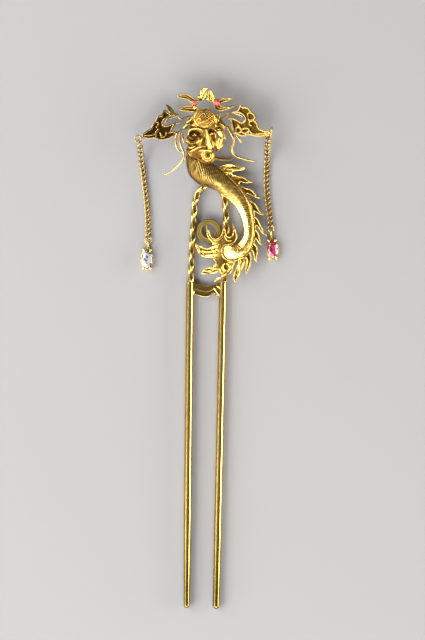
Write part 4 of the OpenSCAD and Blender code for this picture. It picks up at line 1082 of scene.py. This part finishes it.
def cut_stone(name, tint_left, tint_right, dark, side):
    """A cut stone. Its back facets throw light up through some front facets and not through others, so
    each facet is lighter or darker by chance, and the tint changes from the left side to the right."""
    settings = {"Roughness": 0.02, "IOR": 1.72, "Transmission Weight": 0.35}
    material, tree, shader = new_material(name, settings)
    middle = at(DROPS[side][0])[0]
    places = add(tree, "TexCoord", {})
    split = add(tree, "SeparateXYZ", {}, [("Vector", places, "Object")])
    across = add(tree, "MapRange", {"From Min": (middle - 1.2) * MM, "From Max": (middle + 1.2) * MM},
                 [("Value", split, "X")])
    tint = add(tree, "Mix", {"data_type": "RGBA", 6: colour(tint_left), 7: colour(tint_right)},
               [("Factor", across, "Result")])
    facet = add(tree, "NewGeometry", {})
    step_way = add(tree, "VectorMath", {"operation": "SNAP", 1: (0.08, 0.08, 0.08)},
                   [(0, facet, "True Normal")])
    # Through the table the back facets show as cells of about 0.9 mm
    cells = add(tree, "TexVoronoi", {"Scale": 1 / (0.9 * MM)}, [("Vector", places, "Object")])
    pick = add(tree, "VectorMath", {"operation": "ADD"}, [(0, step_way, "Vector"), (1, cells, "Color")])
    chance = add(tree, "TexWhiteNoise", {"noise_dimensions": "3D"}, [("Vector", pick, "Vector")])
    level = add(tree, "MapRange", {"From Min": 0.15, "From Max": 0.6}, [("Value", chance, "Value")])
    lit = add(tree, "Mix", {"data_type": "RGBA", 6: colour(dark)},
              [("Factor", level, "Result"), (7, tint, 2)])
    tree.links.new(lit.outputs[2], shader.inputs["Base Color"])
    return material


def make_stones():
    for side, tint in (("left", clear_stone), ("right", red_stone)):
        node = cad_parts["stone_" + side]
        node.data.materials.clear()
        node.data.materials.append(tint)


# Colourless marquise with a faint violet side, and a pink-red one that is more salmon on its left
clear_stone = cut_stone("colourless_stone_cut", "B6B6B0", "A6A2AC", "3E3E38", "left")
red_stone = cut_stone("pink_red_stone_cut", "A83C32", "AC2262", "4E0A22", "right")

make_fork()
make_arch()
make_body()
for casting in CASTINGS:
    make_casting(*casting)
make_panels()
make_head()
make_cap()
make_wires()
make_chains()
make_hoops()
make_settings()
make_beads()
make_stones()


# Stage: a plain pale floor under soft studio light

floor_mesh = bpy.data.meshes.new("floor")
floor_mesh.from_pydata([(-2, -2, 0), (2, -2, 0), (2, 2, 0), (-2, 2, 0)], [], [(0, 1, 2, 3)])
floor = in_scene("floor", floor_mesh)
board, _, _ = new_material("pale_matt_board", {"Base Color": colour("807E7A"), "Roughness": 0.9})
floor_mesh.materials.append(board)


def soft_box(name, spot, aim, width, height, watts, tint):
    """A soft lamp of the given size that shines from a spot towards another."""
    lamp = bpy.data.lights.new(name, "AREA")
    lamp.shape = "RECTANGLE"
    lamp.size = width
    lamp.size_y = height
    lamp.energy = watts
    lamp.color = colour(tint)[:3]
    box = in_scene(name, lamp)
    box.location = spot
    box.rotation_euler = Vector(np.subtract(aim, spot)).to_track_quat("-Z", "Y").to_euler()


soft_box("key_left", (-1.0, -0.62, 0.56), (0, 0.02, 0), 1.0, 1.1, 47, "F6F7FF")
soft_box("side_left", (-0.62, 0.36, 0.34), (0, 0.03, 0), 0.42, 0.6, 9.4, "F6F8FF")
soft_box("key_below", (0.13, -1.08, 0.72), (0, 0.02, 0), 1.0, 0.85, 31, "F8F8FF")
soft_box("strip_right", (0.95, 0.0, 0.17), (0, 0, 0.01), 0.9, 0.3, 17, "FFF8EA")

# The light of the room: dim overhead, and brighter towards the lower left, where the window is
world = bpy.data.worlds.new("studio")
scene.world = world
world.use_nodes = True
air = world.node_tree
sky = air.nodes["Background"]
sky_way = add(air, "TexCoord", {})
sky_side = add(air, "VectorMath", {"operation": "DOT_PRODUCT", 1: (-0.55, -0.65, 0.1)},
               [(0, sky_way, "Generated")])
sky_level = add(air, "MapRange", {"From Min": -0.2, "From Max": 0.85, "To Min": 0.12, "To Max": 0.85},
                [("Value", sky_side, "Value")])
air.links.new(sky_level.outputs["Result"], sky.inputs["Strength"])
sky.inputs["Color"].default_value = colour("F2F4F8")

scene.view_settings.view_transform = "Standard"

# Camera: straight above, so far off that the picture is 185.5 mm high at the height of the pin
CAMERA_HEIGHT = 1.1
PIN_HEIGHT = 0.002
PICTURE_HEIGHT = 640 * STEP * MM
SENSOR = 24
lens_work = bpy.data.cameras.new("camera")
lens_work.sensor_fit = "VERTICAL"
lens_work.sensor_height = SENSOR
lens_work.lens = SENSOR * (CAMERA_HEIGHT - PIN_HEIGHT) / PICTURE_HEIGHT
camera = in_scene("camera", lens_work)
picture_middle = at([212.5, 320])
camera.location = (picture_middle[0] * MM, picture_middle[1] * MM, CAMERA_HEIGHT)
scene.camera = camera
